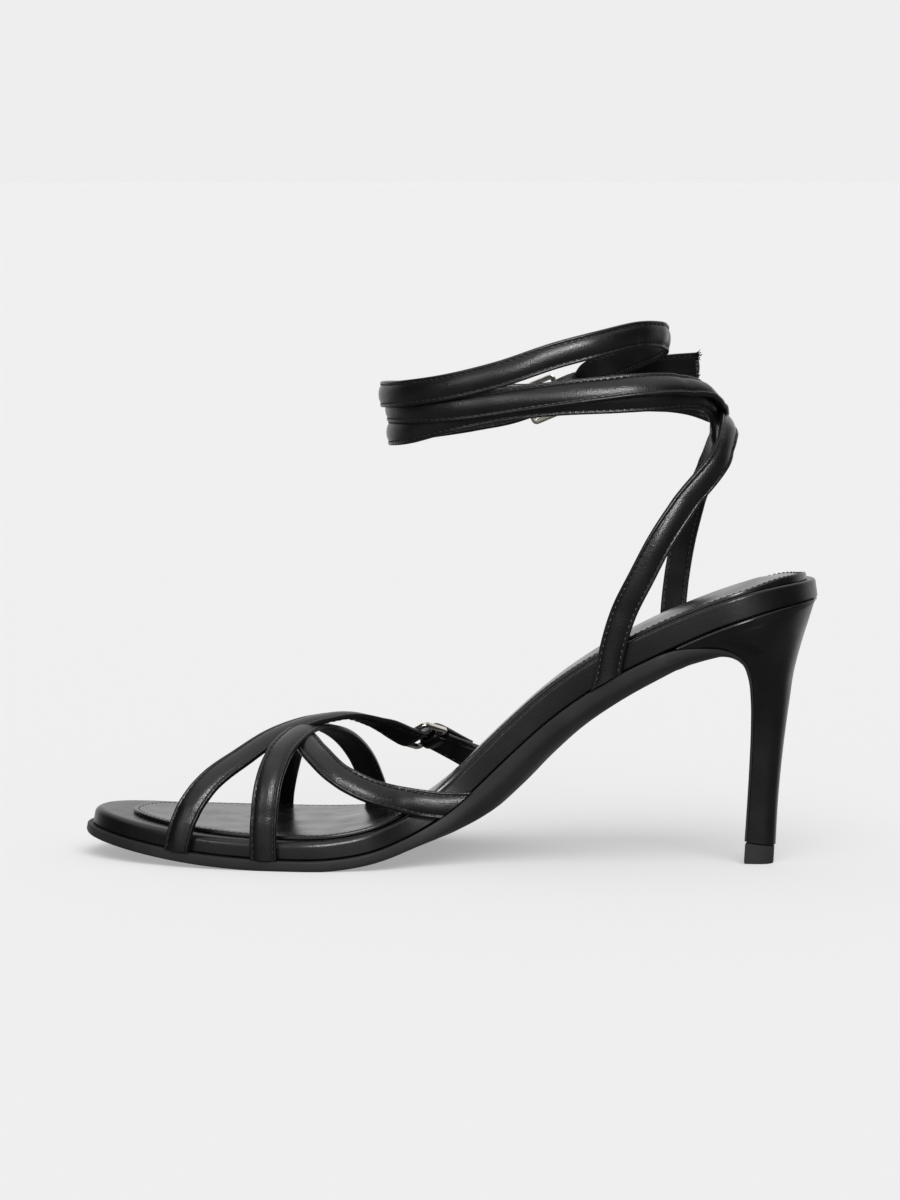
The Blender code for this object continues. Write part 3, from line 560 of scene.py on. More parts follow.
# Thread
STITCH_END = 1.0
STITCH_CLEAR = 0.6
STITCH_PITCH = 2.05
STITCH_LENGTH = 1.6
THREAD_RADIUS = 0.2
STITCH_RISE = 0.08
STITCH_SIDES = 6
STITCH_COLUMNS = ("place", "girth", "rise")
STITCH_ROWS = (
    (-0.5, 0.45, -0.9),
    (-0.3, 0.95, 0.0),
    (0.0, 1.0, 0.25),
    (0.3, 0.95, 0.0),
    (0.5, 0.45, -0.9),
)

# The stage, in metres: a wide pale floor that glows a little, in an even white room
FLOOR_RADII = (0.0, 0.5, 1.5, 4.0, 12.0, 40.0)
FLOOR_SIDES = 48
FLOOR_SHADE = 0.5
FLOOR_GLOW = 0.345
BACKDROP = 0.855
ROOM_LIGHT = 0.5
FLOOR_LIGHT = 2.2
FLOOR_LIGHT_PLACE = (-0.5, 1.6, 2.0)
FLOOR_LIGHT_SPREAD = 50.0
LIGHT_AIM = (0, 0, 0.1)
LIGHT_COLUMNS = ("name", "place", "size", "power")
SHOE_LIGHT_ROWS = (
    ("key_light", (-0.32, 1.3, 0.85), (0.4, 0.3), 14.0),
    ("fill_light", (0.75, 1.1, 0.6), (0.3, 0.3), 2.0),
)
STRAP_LIGHT_ROWS = (
    ("strap_light", (-0.12, 1.46, 0.5), (0.25, 0.25), 4.5),
)

# What the shoe mirrors of the room: how bright each part is, and between which directions it begins
MIRRORED_BACK = 0.85
MIRRORED_SIDES = 0.03
MIRRORED_FRONT = 0.6
MIRRORED_TOP = 1.0
MIRRORED_FLOOR = 0.11
MIRRORED_FLOOR_BACK = 0.75
BACK_SPAN = (-0.8, -0.3)
FRONT_SPAN = (0.55, 0.9)
TOP_SPAN = (0.55, 0.9)
FLOOR_SPAN = (-0.2, -0.06)
FLOOR_BACK_SPAN = (-0.8, -0.35)
UNDERNEATH_SPAN = (-0.36, -0.22)

# The camera, at the photo's place relative to the shoe and aimed at the middle of the shoe
CAMERA_PLACE = (-0.2222, 1.48575, 0.2168)
CAMERA_AIM = (0.0, 0.0, 0.080)
CAMERA_LENS = 146.0
SENSOR_WIDTH = 36.0


def smooth_step(start, end, leaving, arriving, share, span):
    """A value on the way from a start to an end, with the slopes that it leaves and arrives with."""
    rise = start * (1 + 2 * share) * (1 - share) ** 2 + end * share * share * (3 - 2 * share)
    bend = leaving * share * (1 - share) ** 2 - arriving * share * share * (1 - share)
    return rise + span * bend


class Table:
    """A table whose columns are read smoothly at any place along its first column."""

    def __init__(self, columns, rows):
        self.values = {}
        for number, name in enumerate(columns):
            self.values[name] = np.array([row[number] for row in rows], float)
        self.places = self.values[columns[0]]

    def at(self, name, place):
        places = self.places
        values = self.values[name]
        steps = np.diff(places)
        slopes = np.diff(values) / steps
        tangents = np.zeros(len(places))
        tangents[0] = slopes[0]
        tangents[-1] = slopes[-1]
        for i in range(1, len(places) - 1):
            if slopes[i - 1] * slopes[i] > 0:
                before = 2 * steps[i] + steps[i - 1]
                after = steps[i] + 2 * steps[i - 1]
                tangents[i] = (before + after) / (before / slopes[i - 1] + after / slopes[i])
        k = np.clip(np.searchsorted(places, place) - 1, 0, len(places) - 2)
        share = (place - places[k]) / steps[k]
        return smooth_step(values[k], values[k + 1], tangents[k], tangents[k + 1], share, steps[k])


def ramp(value, start, end):
    """How far a value lies from a start to an end, from 0 to 1."""
    return min(1.0, max(0.0, (value - start) / (end - start)))


def named(columns, rows):
    return [dict(zip(columns, row)) for row in rows]


def unit(vector):
    return vector / np.linalg.norm(vector)


sole = Table(SOLE_COLUMNS, SOLE_ROWS)
outsole_table = Table(OUTSOLE_COLUMNS, OUTSOLE_ROWS)

# The last's bottom line, summed from its pitch, and its columns at every step
last_along = np.arange(0.0, LENGTH + LAST_STEP / 2, LAST_STEP)
last_pitch = np.radians(sole.at("pitch", last_along))
mean_pitch = (last_pitch[1:] + last_pitch[:-1]) / 2
last_x = np.concatenate([[0.0], np.cumsum(np.cos(mean_pitch) * LAST_STEP)])
last_z = -np.concatenate([[0.0], np.cumsum(np.sin(mean_pitch) * LAST_STEP)])
last_z = last_z - last_z.min() + FOREFOOT_TOP
last_columns = {name: sole.at(name, last_along) for name in SOLE_COLUMNS}


def sole_at(name, along):
    return np.interp(along, last_along, last_columns[name])


def on_last(along, across, above):
    """A point over the footbed: station along it, distance across, height square to it."""
    inside = min(max(along, 0.0), LENGTH)
    beyond = along - inside
    rise = above + across * sole_at("bank", inside)
    pitch = np.interp(inside, last_along, last_pitch)
    x = np.interp(inside, last_along, last_x) + beyond * math.cos(pitch) + rise * math.sin(pitch)
    z = np.interp(inside, last_along, last_z) - beyond * math.sin(pitch) + rise * math.cos(pitch)
    return np.array([x, across, z])


def nearest_station(point):
    return int(np.argmin((last_x - point[0]) ** 2 + (last_z - point[2]) ** 2))


def way_up(pitch):
    return np.array([math.sin(pitch), 0.0, math.cos(pitch)])


def above_joint(point):
    """Height of a point over the joint of footbed and outsole."""
    number = nearest_station(point)
    rise = (point - np.array([last_x[number], 0.0, last_z[number]])) @ way_up(last_pitch[number])
    return rise - point[1] * last_columns["bank"][number] + last_columns["thick"][number]


def end_round(along):
    """Share of the full width left where the heel and toe ends round off."""
    if along < HEEL_ROUND:
        return math.sqrt(max(0.0, 1 - ((HEEL_ROUND - along) / HEEL_ROUND) ** 2))
    if along > LENGTH - TOE_ROUND:
        reach = min(1.0, (along - LENGTH + TOE_ROUND) / TOE_ROUND)
        return max(0.0, 1 - reach ** TOE_POWER) ** (1 / TOE_POWER)
    return 1.0


def edge(along, side):
    """Distance across to the footbed's edge on the inner (+1) or outer (-1) side."""
    half = sole_at("medial" if side > 0 else "lateral", along)
    share = ramp(along, APEX_START, LENGTH)
    apex = TOE_APEX * share * share * (3 - 2 * share)
    return apex + (side * half - apex) * end_round(along)


def quarter_turns(steps):
    return [math.radians(90 * k / steps) for k in range(steps + 1)]


def circle(centre, first, second, radius, sides):
    """Points evenly round a centre, in the plane of two directions."""
    turns = [2 * math.pi * k / sides for k in range(sides)]
    return [centre + radius * (first * math.cos(turn) + second * math.sin(turn)) for turn in turns]


def round_rectangle(long, wide, radius, steps):
    """Points round a rectangle with rounded corners, each with the angle of its way out."""
    points = []
    for quarter, (sign_long, sign_wide) in enumerate(((1, 1), (-1, 1), (-1, -1), (1, -1))):
        for turn in quarter_turns(steps):
            angle = math.radians(90 * quarter) + turn
            along = sign_long * (long / 2 - radius) + radius * math.cos(angle)
            across = sign_wide * (wide / 2 - radius) + radius * math.sin(angle)
            points.append((along, across, angle))
    return points


def toe_stations(steps):
    return [LENGTH - TOE_ROUND + TOE_ROUND * math.sin(turn) for turn in quarter_turns(steps)]


def heel_stations(steps):
    return [HEEL_ROUND - HEEL_ROUND * math.cos(turn) for turn in quarter_turns(steps)]


def sides_at(stations):
    inner = [np.array([s, edge(s, 1)]) for s in stations]
    outer = [np.array([s, edge(s, -1)]) for s in stations]
    return inner, outer


def inset(sides, distance):
    """The two side lines moved inwards by a distance, or by one for each station; round ends move too."""
    moved = []
    for line, other, turn in ((sides[0], sides[1], 1), (sides[1], sides[0], -1)):
        new_line = []
        last = len(line) - 1
        for i, point in enumerate(line):
            before = line[i - 1] if i > 0 else 2 * line[0] - line[1]
            after = line[i + 1] if i < last else 2 * line[last] - line[last - 1]
            if i == 0 and np.linalg.norm(line[0] - other[0]) < TOUCHING:
                before = other[1]
            if i == last and np.linalg.norm(line[last] - other[last]) < TOUCHING:
                after = other[last - 1]
            run = unit(after - before)
            reach = distance(point[0]) if callable(distance) else distance
            new_line.append(point + reach * turn * np.array([run[1], -run[0]]))
        moved.append(new_line)
    return moved


def level(sides, height, place):
    """Rows of points from the inner to the outer side line, set at a height by a placing function."""
    rows = []
    for start, end in zip(*sides):
        row = []
        for k in range(ACROSS + 1):
            along, aside = start + (end - start) * k / ACROSS
            row.append(place(along, aside, height(along, aside)))
        rows.append(row)
    return rows


def border(rows):
    first = rows[0][1:-1]
    final = rows[-1][1:-1]
    return [row[0] for row in rows] + final + [row[-1] for row in rows[::-1]] + first[::-1]


class Shell:
    """Faces given by their corner points; corners that coincide become one."""

    def __init__(self):
        self.points = []
        self.faces = []

    def face(self, corners):
        start = len(self.points)
        self.points.extend(corners)
        self.faces.append(list(range(start, start + len(corners))))

    def sheet(self, rows):
        for low, high in zip(rows, rows[1:]):
            for k in range(len(low) - 1):
                self.face([low[k], low[k + 1], high[k + 1], high[k]])

    def band(self, low, high):
        for k in range(len(low)):
            after = (k + 1) % len(low)
            self.face([low[k], low[after], high[after], high[k]])

    def stack(self, levels):
        """A closed body from a top level through wall levels to a bottom level."""
        self.sheet(levels[0])
        self.sheet(levels[-1])
        for high, low in zip(levels, levels[1:]):
            self.band(border(high), border(low))
        return self

    def tube(self, rings, closed=False):
        for low, high in zip(rings, rings[1:]):
            self.band(low, high)
        if closed:
            self.band(rings[-1], rings[0])
        else:
            self.face(rings[0])
            self.face(rings[-1])
        return self

    def make(self, name, sharp=SHARP_ANGLE):
        mesh = bpy.data.meshes.new(name)
        points = (np.array(self.points) - ORIGIN) * MM
        mesh.from_pydata(points.tolist(), [], self.faces)
        body = bmesh.new()
        body.from_mesh(mesh)
        bmesh.ops.remove_doubles(body, verts=body.verts, dist=SAME_POINT * MM)
        bmesh.ops.dissolve_degenerate(body, edges=body.edges, dist=NO_LENGTH * MM)
        bmesh.ops.recalc_face_normals(body, faces=body.faces)
        body.to_mesh(mesh)
        body.free()
        mesh.shade_smooth()
        mesh.set_sharp_from_angle(angle=math.radians(sharp))
        made = bpy.data.objects.new(name, mesh)
        bpy.context.scene.collection.objects.link(made)
        return made


# Materials
# The near-black of the punched holes is painted shade, standing in for the depth of each hole
HOLE_PAINTED_SHADE = (0.001, 0.001, 0.001, 1)
BLACK_DARK = (0.003, 0.003, 0.0035, 1)
BLACK = (0.004, 0.004, 0.0045, 1)
BLACK_LIGHT = (0.006, 0.006, 0.0065, 1)
SOCK_BLACK = (0.008, 0.008, 0.0085, 1)
RUBBER_BLACK = (0.026, 0.0245, 0.024, 1)
RUBBER_DARK = (0.017, 0.016, 0.016, 1)
THREAD_BLACK = (0.016, 0.016, 0.017, 1)
METAL = (0.78, 0.74, 0.66, 1)
SHADE_SPAN = (0.35, 0.65)
GLOSS_SPAN = (0.3, 0.7)
PEBBLE_SMOOTHNESS = 0.4


def ranged(tree, value, span, results, smooth=False):
    """A value's place in a span, carried over to a pair of results."""
    node = tree.nodes.new("ShaderNodeMapRange")
    if smooth:
        node.interpolation_type = "SMOOTHSTEP"
    for name, number in zip(("From Min", "From Max", "To Min", "To Max"), span + results):
        node.inputs[name].default_value = number
    tree.links.new(value, node.inputs["Value"])
    return node.outputs["Result"]


class Finish:
    """A Principled material with its nodes, built up call by call; sizes and depths are in millimetres."""

    def __init__(self, name, colour, roughness, metallic=0.0, specular=0.5):
        self.material = bpy.data.materials.new(name)
        self.material.use_nodes = True
        self.tree = self.material.node_tree
        self.shader = self.tree.nodes["Principled BSDF"]
        self.shader.inputs["Base Color"].default_value = colour
        self.shader.inputs["Roughness"].default_value = roughness
        self.shader.inputs["Metallic"].default_value = metallic
        self.shader.inputs["Specular IOR Level"].default_value = specular
        self.place = self.tree.nodes.new("ShaderNodeTexCoord").outputs["Object"]
        self.normal = None

    def texture(self, kind, size):
        node = self.tree.nodes.new(kind)
        node.inputs["Scale"].default_value = 1 / (size * MM)
        self.tree.links.new(self.place, node.inputs["Vector"])
        return node

    def noise(self, size, detail=3.0):
        node = self.texture("ShaderNodeTexNoise", size)
        node.inputs["Detail"].default_value = detail
        return node.outputs["Fac"]

    def shades(self, dark, light, size):
        """The colour drifts between two shades."""
        node = self.tree.nodes.new("ShaderNodeValToRGB")
        for element, place, colour in zip(node.color_ramp.elements, SHADE_SPAN, (dark, light)):
            element.position = place
            element.color = colour
        self.tree.links.new(self.noise(size), node.inputs["Fac"])
        self.tree.links.new(node.outputs["Color"], self.shader.inputs["Base Color"])

    def gloss(self, size, rough):
        """The roughness drifts between two values."""
        drift = ranged(self.tree, self.noise(size), GLOSS_SPAN, rough)
        self.tree.links.new(drift, self.shader.inputs["Roughness"])

    def bump(self, height, depth, strength):
        """Relief laid over any relief before it."""
        node = self.tree.nodes.new("ShaderNodeBump")
        node.inputs["Distance"].default_value = depth * MM
        node.inputs["Strength"].default_value = strength
        self.tree.links.new(height, node.inputs["Height"])
        if self.normal is not None:
            self.tree.links.new(self.normal, node.inputs["Normal"])
        self.normal = node.outputs["Normal"]
        self.tree.links.new(self.normal, self.shader.inputs["Normal"])

    def relief(self, size, depth, strength=0.6, detail=2.0):
        self.bump(self.noise(size, detail), depth, strength)

    def pebbles(self, size, depth):
        node = self.texture("ShaderNodeTexVoronoi", size)
        node.feature = "SMOOTH_F1"
        node.inputs["Smoothness"].default_value = PEBBLE_SMOOTHNESS
        self.bump(node.outputs["Distance"], depth, strength=1.0)


def leather(name, grain=0.05):
    """Fine-grained leather: soft waves, pebbles of a depth and still finer pores."""
    made = Finish(name, BLACK, roughness=0.3)
    made.shades(BLACK_DARK, BLACK_LIGHT, size=14.0)
    made.gloss(size=6.0, rough=(0.26, 0.34))
    made.relief(size=5.0, depth=0.06)
    made.pebbles(size=0.42, depth=grain)
    made.relief(size=0.2, depth=grain / 3, strength=1.0)
    return made.material


def smooth_sock(name):
    made = Finish(name, SOCK_BLACK, roughness=0.25, specular=0.6)
    made.shades(BLACK, SOCK_BLACK, size=18.0)
    made.gloss(size=9.0, rough=(0.2, 0.3))
    made.relief(size=7.0, depth=0.05, strength=0.5)
    made.relief(size=0.5, depth=0.02, detail=3.0)
    return made.material


def strap_lining(name):
    made = Finish(name, BLACK, roughness=0.5, specular=0.3)
    made.shades(BLACK_DARK, BLACK_LIGHT, size=9.0)
    made.gloss(size=4.0, rough=(0.42, 0.55))
    made.relief(size=2.4, depth=0.05)
    made.relief(size=0.3, depth=0.012)
    return made.material


# Painted shade: a near-black, almost matte finish for the shallow hole mouths, standing in for the shade
# deep inside a punched hole
def painted_hole_shade(name):
    made = Finish(name, BLACK_DARK, roughness=0.9, specular=0.05)
    made.shades(HOLE_PAINTED_SHADE, BLACK_DARK, size=0.6)
    return made.material


def sole_rubber(name, rough=(0.48, 0.58)):
    made = Finish(name, RUBBER_BLACK, roughness=0.5, specular=0.25)
    made.shades(RUBBER_DARK, RUBBER_BLACK, size=20.0)
    made.gloss(size=5.0, rough=rough)
    made.relief(size=3.0, depth=0.03, strength=0.5, detail=3.0)
    made.relief(size=0.4, depth=0.012)
    return made.material


def thread(name, shade=THREAD_BLACK, rough=0.38):
    made = Finish(name, shade, roughness=rough)
    made.shades(BLACK_LIGHT, shade, size=3.0)
    made.relief(size=0.16, depth=0.03, strength=0.7, detail=1.0)
    return made.material


def polished_metal(name):
    made = Finish(name, METAL, roughness=0.16, metallic=1.0)
    made.gloss(size=2.5, rough=(0.1, 0.22))
    made.relief(size=1.6, depth=0.012)
    return made.material


def dress(piece, material, slot, *nodes):
    """Gives a piece its material, sets it on the shoe and hides the solids that it stands for."""
    piece.data.materials.clear()
    piece.data.materials.append(material)
    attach(piece, "root")
    if nodes:
        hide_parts(*nodes)
    return piece


# Footbed: a cupped top, a wrapped edge, crisp at the heel and rounder at the toe, and a tucked underside
def cup(along, aside):
    half = sole_at("medial" if aside > 0 else "lateral", along)
    return sole_at("cup", along) * (aside / half) ** 2


def top_drop(along):
    """Height of the footbed's top, lower where its edge is crisp, so that the side ends level."""
    return sole_at("round", along) - RIM_DROP


def edge_height(turn):
    def height(along, aside):
        depth = sole_at("round", along) * (1 - math.cos(turn))
        return cup(along, aside) * (1 - depth / DISH_FADE) + top_drop(along) - depth
    return height


def edge_inset(turn):
    return lambda along: sole_at("round", along) * (1 - math.sin(turn))


def underside(along, aside):
    return -sole_at("thick", along)


def above_underside(along, aside):
    return underside(along, aside) + TUCK_HEIGHT


middle_stations = list(np.linspace(HEEL_ROUND, LENGTH - TOE_ROUND, SOLE_STATIONS))
footbed_stations = heel_stations(END_STATIONS)[:-1] + middle_stations[:-1] + toe_stations(END_STATIONS)
footbed_sides = sides_at(footbed_stations)
footbed_levels = []
for turn in quarter_turns(EDGE_STEPS):
    outline = inset(footbed_sides, edge_inset(turn))
    footbed_levels.append(level(outline, edge_height(turn), on_last))
footbed_levels.append(level(footbed_sides, above_underside, on_last))
footbed_levels.append(level(inset(footbed_sides, EDGE_TUCK), underside, on_last))
footbed = Shell().stack(footbed_levels).make("footbed_wrap")
dress(footbed, leather("footbed_leather", grain=0.025), "footbed", "footbed")


# Sock: a thin cover with a sewn groove inside its edge
def squeeze(line):
    """A side line of the sock, drawn in at both ends to its own length."""
    start = line[0][0]
    end = line[-1][0]
    ratio = (LENGTH - SOCK_FRONT - SOCK_BACK) / (end - start)
    return [np.array([SOCK_BACK + (s - start) * ratio, y]) for s, y in line]


def over_footbed(height):
    """A height over the footbed, more where the sock's top is domed and where its back is raised."""
    def place(along, aside):
        lift = SOCK_LIFT * ramp(along, SOCK_LIFT_FROM, SOCK_BACK) ** 2 * max(0.0, 1.0 + aside / SOCK_TILT)
        dome = SOCK_DOME * ramp(along, *SOCK_DOME_BACK) * ramp(along, *SOCK_DOME_FRONT)
        dome = dome * max(0.0, 1.0 - (aside / SOCK_TILT) ** 2)
        return cup(along, aside) + top_drop(along) + GAP + height + (lift + dome) * min(1.0, height)
    return place


def sock_inset(along):
    return SOCK_INSET_HEEL + (SOCK_INSET - SOCK_INSET_HEEL) * ramp(along, *SOCK_NARROW)


sock_sides = [squeeze(line) for line in inset(footbed_sides, sock_inset)]
sock_levels = []
for row in named(SOCK_EDGE_COLUMNS, SOCK_EDGE_ROWS):
    outline = inset(sock_sides, row["inward"])
    sock_levels.append(level(outline, over_footbed(row["height"]), on_last))
sock = Shell().stack(sock_levels).make("sock_cover")
dress(sock, smooth_sock("sock_leather"), "sock", "sock")


# Even points along a smooth line through a row of points
def travel_along(line):
    return np.concatenate([[0.0], np.cumsum(np.linalg.norm(np.diff(line, axis=0), axis=1))])


def even_points(line, step):
    travel = travel_along(line)
    even = np.linspace(0.0, travel[-1], max(2, int(round(travel[-1] / step))) + 1)
    return np.stack([np.interp(even, travel, line[:, axis]) for axis in range(3)], axis=1)


def route(points, step):
    points = [np.array(p, float) for p in points]
    lengths = [np.linalg.norm(b - a) for a, b in zip(points, points[1:])]
    slopes = [(b - a) / h for a, b, h in zip(points, points[1:], lengths)]
    tangents = [slopes[0]]
    for i in range(1, len(points) - 1):
        before = lengths[i - 1]
        after = lengths[i]
        tangents.append((slopes[i - 1] * after + slopes[i] * before) / (before + after))
    tangents.append(slopes[-1])
    fine = []
    for i, span in enumerate(lengths):
        for k in range(ROUTE_FINENESS):
            share = k / ROUTE_FINENESS
            fine.append(smooth_step(points[i], points[i + 1], tangents[i], tangents[i + 1], share, span))
    fine.append(points[-1])
    return even_points(np.array(fine), step)


def nearest_number(line, point):
    return int(np.argmin(np.linalg.norm(line - point, axis=1)))


# The breast, the line on which the outsole runs on under the heel's lip and down its front
heel_rows = named(HEEL_COLUMNS, HEEL_ROWS)
breast_points = [on_last(LIP_FRONT, 0.0, -sole_at("thick", LIP_FRONT) - GAP)]
breast_points = breast_points + [np.array([row["front_x"], 0.0, row["front_z"]]) for row in heel_rows]
breast_line = route(breast_points, BREAST_STEP)
breast_travel = travel_along(breast_line)
breast_places = [breast_travel[nearest_number(breast_line, point)] for point in breast_points]
breast_halves = [edge(LIP_FRONT, 1) + LIP] + [row["half"] for row in heel_rows]
breast_table = Table(("travel", "half"), list(zip(breast_places, breast_halves)))


def breast_point(travel):
    return np.array([np.interp(travel, breast_travel, breast_line[:, axis]) for axis in range(3)])


def breast_inwards(travel):
    run = unit(breast_point(travel - BREAST_REACH) - breast_point(travel + BREAST_REACH))
    return np.array([-run[2], 0.0, run[0]])


def on_sole(along, across, above):
    """A point by the outsole's top line, along the footbed and then the breast; not under the floor."""
    if along >= LIP_FRONT:
        point = on_last(along, across, above - sole_at("thick", along) - GAP)
    else:
        travel = LIP_FRONT - along
        point = breast_point(travel) + above * breast_inwards(travel) + np.array([0.0, across, 0.0])
    return np.array([point[0], point[1], max(point[2], 0.0)])


def outsole_half(along, side):
    if along >= LIP_FRONT:
        return edge(along, side)
    return side * breast_table.at("half", LIP_FRONT - along)


# Outsole: a cut edge, a rounded belly under the arch, flat on the floor at the forefoot
flap_end = LIP_FRONT - breast_travel[-1] + FLAP_END
flap_stations = list(np.linspace(flap_end, LIP_FRONT - LIP_GAP, FLAP_STATIONS))
tread_stations = list(np.linspace(LIP_FRONT + LIP_GAP, LENGTH - TOE_ROUND, SOLE_STATIONS))[:-1]
tread_stations = tread_stations + toe_stations(END_STATIONS)
outsole_sides = []
for side, line in zip((1, -1), inset(sides_at(tread_stations), -LIP)):
    flap = [np.array([s, outsole_half(s, side)]) for s in flap_stations]
    outsole_sides.append(flap + list(line))


def sole_edge(share):
    return lambda along, aside: -share * outsole_table.at("edge", along)


def sole_belly(along, aside):
    rim = outsole_table.at("edge", along)
    half = max(1.0, abs(outsole_half(along, 1 if aside > 0 else -1)))
    share = min(1.0, abs(aside) / half)
    return -rim - (outsole_table.at("belly", along) - rim) * (1 - share ** BELLY_POWER)


outsole_levels = []
for row in named(OUTSOLE_EDGE_COLUMNS, OUTSOLE_EDGE_ROWS):
    outline = inset(outsole_sides, row["inward"])
    outsole_levels.append(level(outline, sole_edge(row["share"]), on_sole))
outsole_levels.append(level(inset(outsole_sides, BELLY_INSET), sole_belly, on_sole))
outsole = Shell().stack(outsole_levels).make("outsole_tread")
dress(outsole, sole_rubber("outsole_rubber"), "outsole", "outsole")


# Heel: sections with a straight front edge and a rounded back
def heel_shares():
    front = [HEEL_FLAT * k / HEEL_FLAT_STEPS for k in range(HEEL_FLAT_STEPS)]
    shares = [(share, 1.0) for share in front]
    for turn in quarter_turns(HEEL_ARC_STEPS):
        shares.append((HEEL_FLAT + (1 - HEEL_FLAT) * math.sin(turn), math.cos(turn)))
    return shares


def heel_section(front, back, half):
    rows = []
    for share, width in heel_shares():
        middle = front + (back - front) * share
        offset = np.array([0.0, half * width, 0.0])
        rows.append([middle + offset, middle - offset])
    return rows


def seat_section(inward, depth):
    """The heel's top, at a depth under the footbed and inset from the footbed's edge."""
    shares = heel_shares()
    rows = []
    for number, (share, width) in enumerate(shares):
        if number < HEEL_FLAT_STEPS:
            along = SEAT_FRONT + (SEAT_TURN - SEAT_FRONT) * share / HEEL_FLAT
        else:
            along = SEAT_TURN + (SEAT_BACK - SEAT_TURN) * (share - HEEL_FLAT) / (1 - HEEL_FLAT)
        drop = -sole_at("thick", along) - GAP - depth
        inner = max(0.0, edge(along, 1) - inward)
        outer = min(0.0, edge(along, -1) + inward)
        if number == len(shares) - 1:
            inner = 0.0
            outer = 0.0
        rows.append([on_last(along, inner, drop), on_last(along, outer, drop)])
    return rows


heel_table = Table(("place",) + HEEL_COLUMNS, [(i,) + row for i, row in enumerate(HEEL_ROWS)])
heel_levels = [seat_section(**row) for row in named(SEAT_COLUMNS, SEAT_ROWS)]
for number in range(HEEL_STEPS * (len(HEEL_ROWS) - 1) + 1):
    place = number / HEEL_STEPS
    front = np.array([heel_table.at("front_x", place), 0.0, heel_table.at("front_z", place)])
    back = np.array([heel_table.at("back_x", place), 0.0, heel_table.at("back_z", place)])
    travel = breast_travel[nearest_number(breast_line, front)]
    front = breast_point(travel) + HEEL_SEAM * breast_inwards(travel)
    heel_levels.append(heel_section(front, back, heel_table.at("half", place)))
heel = Shell().stack(heel_levels).make("heel_cover")
dress(heel, leather("heel_leather", grain=0.02), "heel", "heel")

# Heel tip: from the slanted seam down to the flat that stands on the floor
tip_levels = []
for row in named(HEEL_COLUMNS, HEEL_TIP_ROWS):
    front = np.array([row["front_x"], 0.0, row["front_z"]])
    back = np.array([row["back_x"], 0.0, row["back_z"]])
    tip_levels.append(heel_section(front, back, row["half"]))
heel_tip = Shell().stack(tip_levels).make("heel_top_piece")
dress(heel_tip, sole_rubber("tip_rubber", rough=(0.55, 0.7)), "heel_tip", "heel_tip")


# Straps: a padded band swept along a line, its face turned outwards
def toe_outward(point):
    along = np.interp(point[0], last_x, last_along)
    pitch = np.interp(along, last_along, last_pitch)
    foot = on_last(along, 0.0, 0.0)
    up = way_up(pitch)
    ahead = np.array([math.cos(pitch), 0.0, -math.sin(pitch)])
    side = 1 if point[1] > 0 else -1
    spread = edge(along + SPREAD_REACH, side) - edge(along - SPREAD_REACH, side)
    spread = side * spread / (2 * SPREAD_REACH)
    wide = TOE_FLATTEN * abs(point[1])
    return np.array([0.0, side * wide, 0.0]) - ahead * spread * wide + up * max(0.0, (point - foot) @ up)


def ankle_outward(point):
    turned = ramp(point[2], TURN_LOW, TURN_HIGH)
    return np.array([turned * (point[0] - ANKLE_AXIS) / ANKLE_LONG ** 2, point[1] / ANKLE_WIDE ** 2, 0.0])


lean_table = Table(LEAN_COLUMNS, LEAN_ROWS)


def wound_outward(point):
    """Outward for the strap wound round the ankle, which leans in behind the leg."""
    flat = ankle_outward(point)
    lean = lean_table.at("lean", min(max(point[0], LEAN_ROWS[0][0]), LEAN_ROWS[-1][0]))
    lean = lean * ramp(point[2], *LEAN_RISE) * ramp(point[2], *LEAN_FALL) * ramp(point[1], *LEAN_ACROSS)
    return flat + np.array([0.0, 0.0, math.tan(math.radians(lean)) * np.linalg.norm(flat)])


def axes_at(line, number, outward):
    before = line[max(number - 1, 0)]
    after = line[min(number + 1, len(line) - 1)]
    run = unit(after - before)
    out = outward(line[number])
    out = unit(out - run * (out @ run))
    return run, np.cross(out, run), out


def no_lift(travel):
    return 0.0


class Creases:
    """Soft troughs and ridges across a strap, each by one of the bends of its route."""

    def __init__(self, line, points, rows):
        travel = travel_along(line)
        self.rows = named(CREASE_COLUMNS, rows)
        for row in self.rows:
            row["place"] = travel[nearest_number(line, points[row["bend"]])] + row["past"]

    def rise(self, travel, across):
        total = 0.0
        for row in self.rows:
            away = (travel + row["slant"] * across - row["place"]) / row["width"]
            total += row["rise"] * math.exp(-away * away)
        return total


def strap_section(width, thick):
    """The padded section: across the face from edge to edge, then back across the lining."""
    half = width / 2
    share = thick / STRAP_THICK
    halves = []
    for rows in (FACE_ROWS, LINING_ROWS):
        rows = named(SECTION_COLUMNS, rows)
        halves.append([(half - row["inward"] * share, row["out"] * share) for row in rows])
    face, lining = halves
    across_face = face + [(-across, out) for across, out in face[::-1]]
    across_lining = [(-across, out) for across, out in lining] + lining[::-1]
    return across_face + across_lining


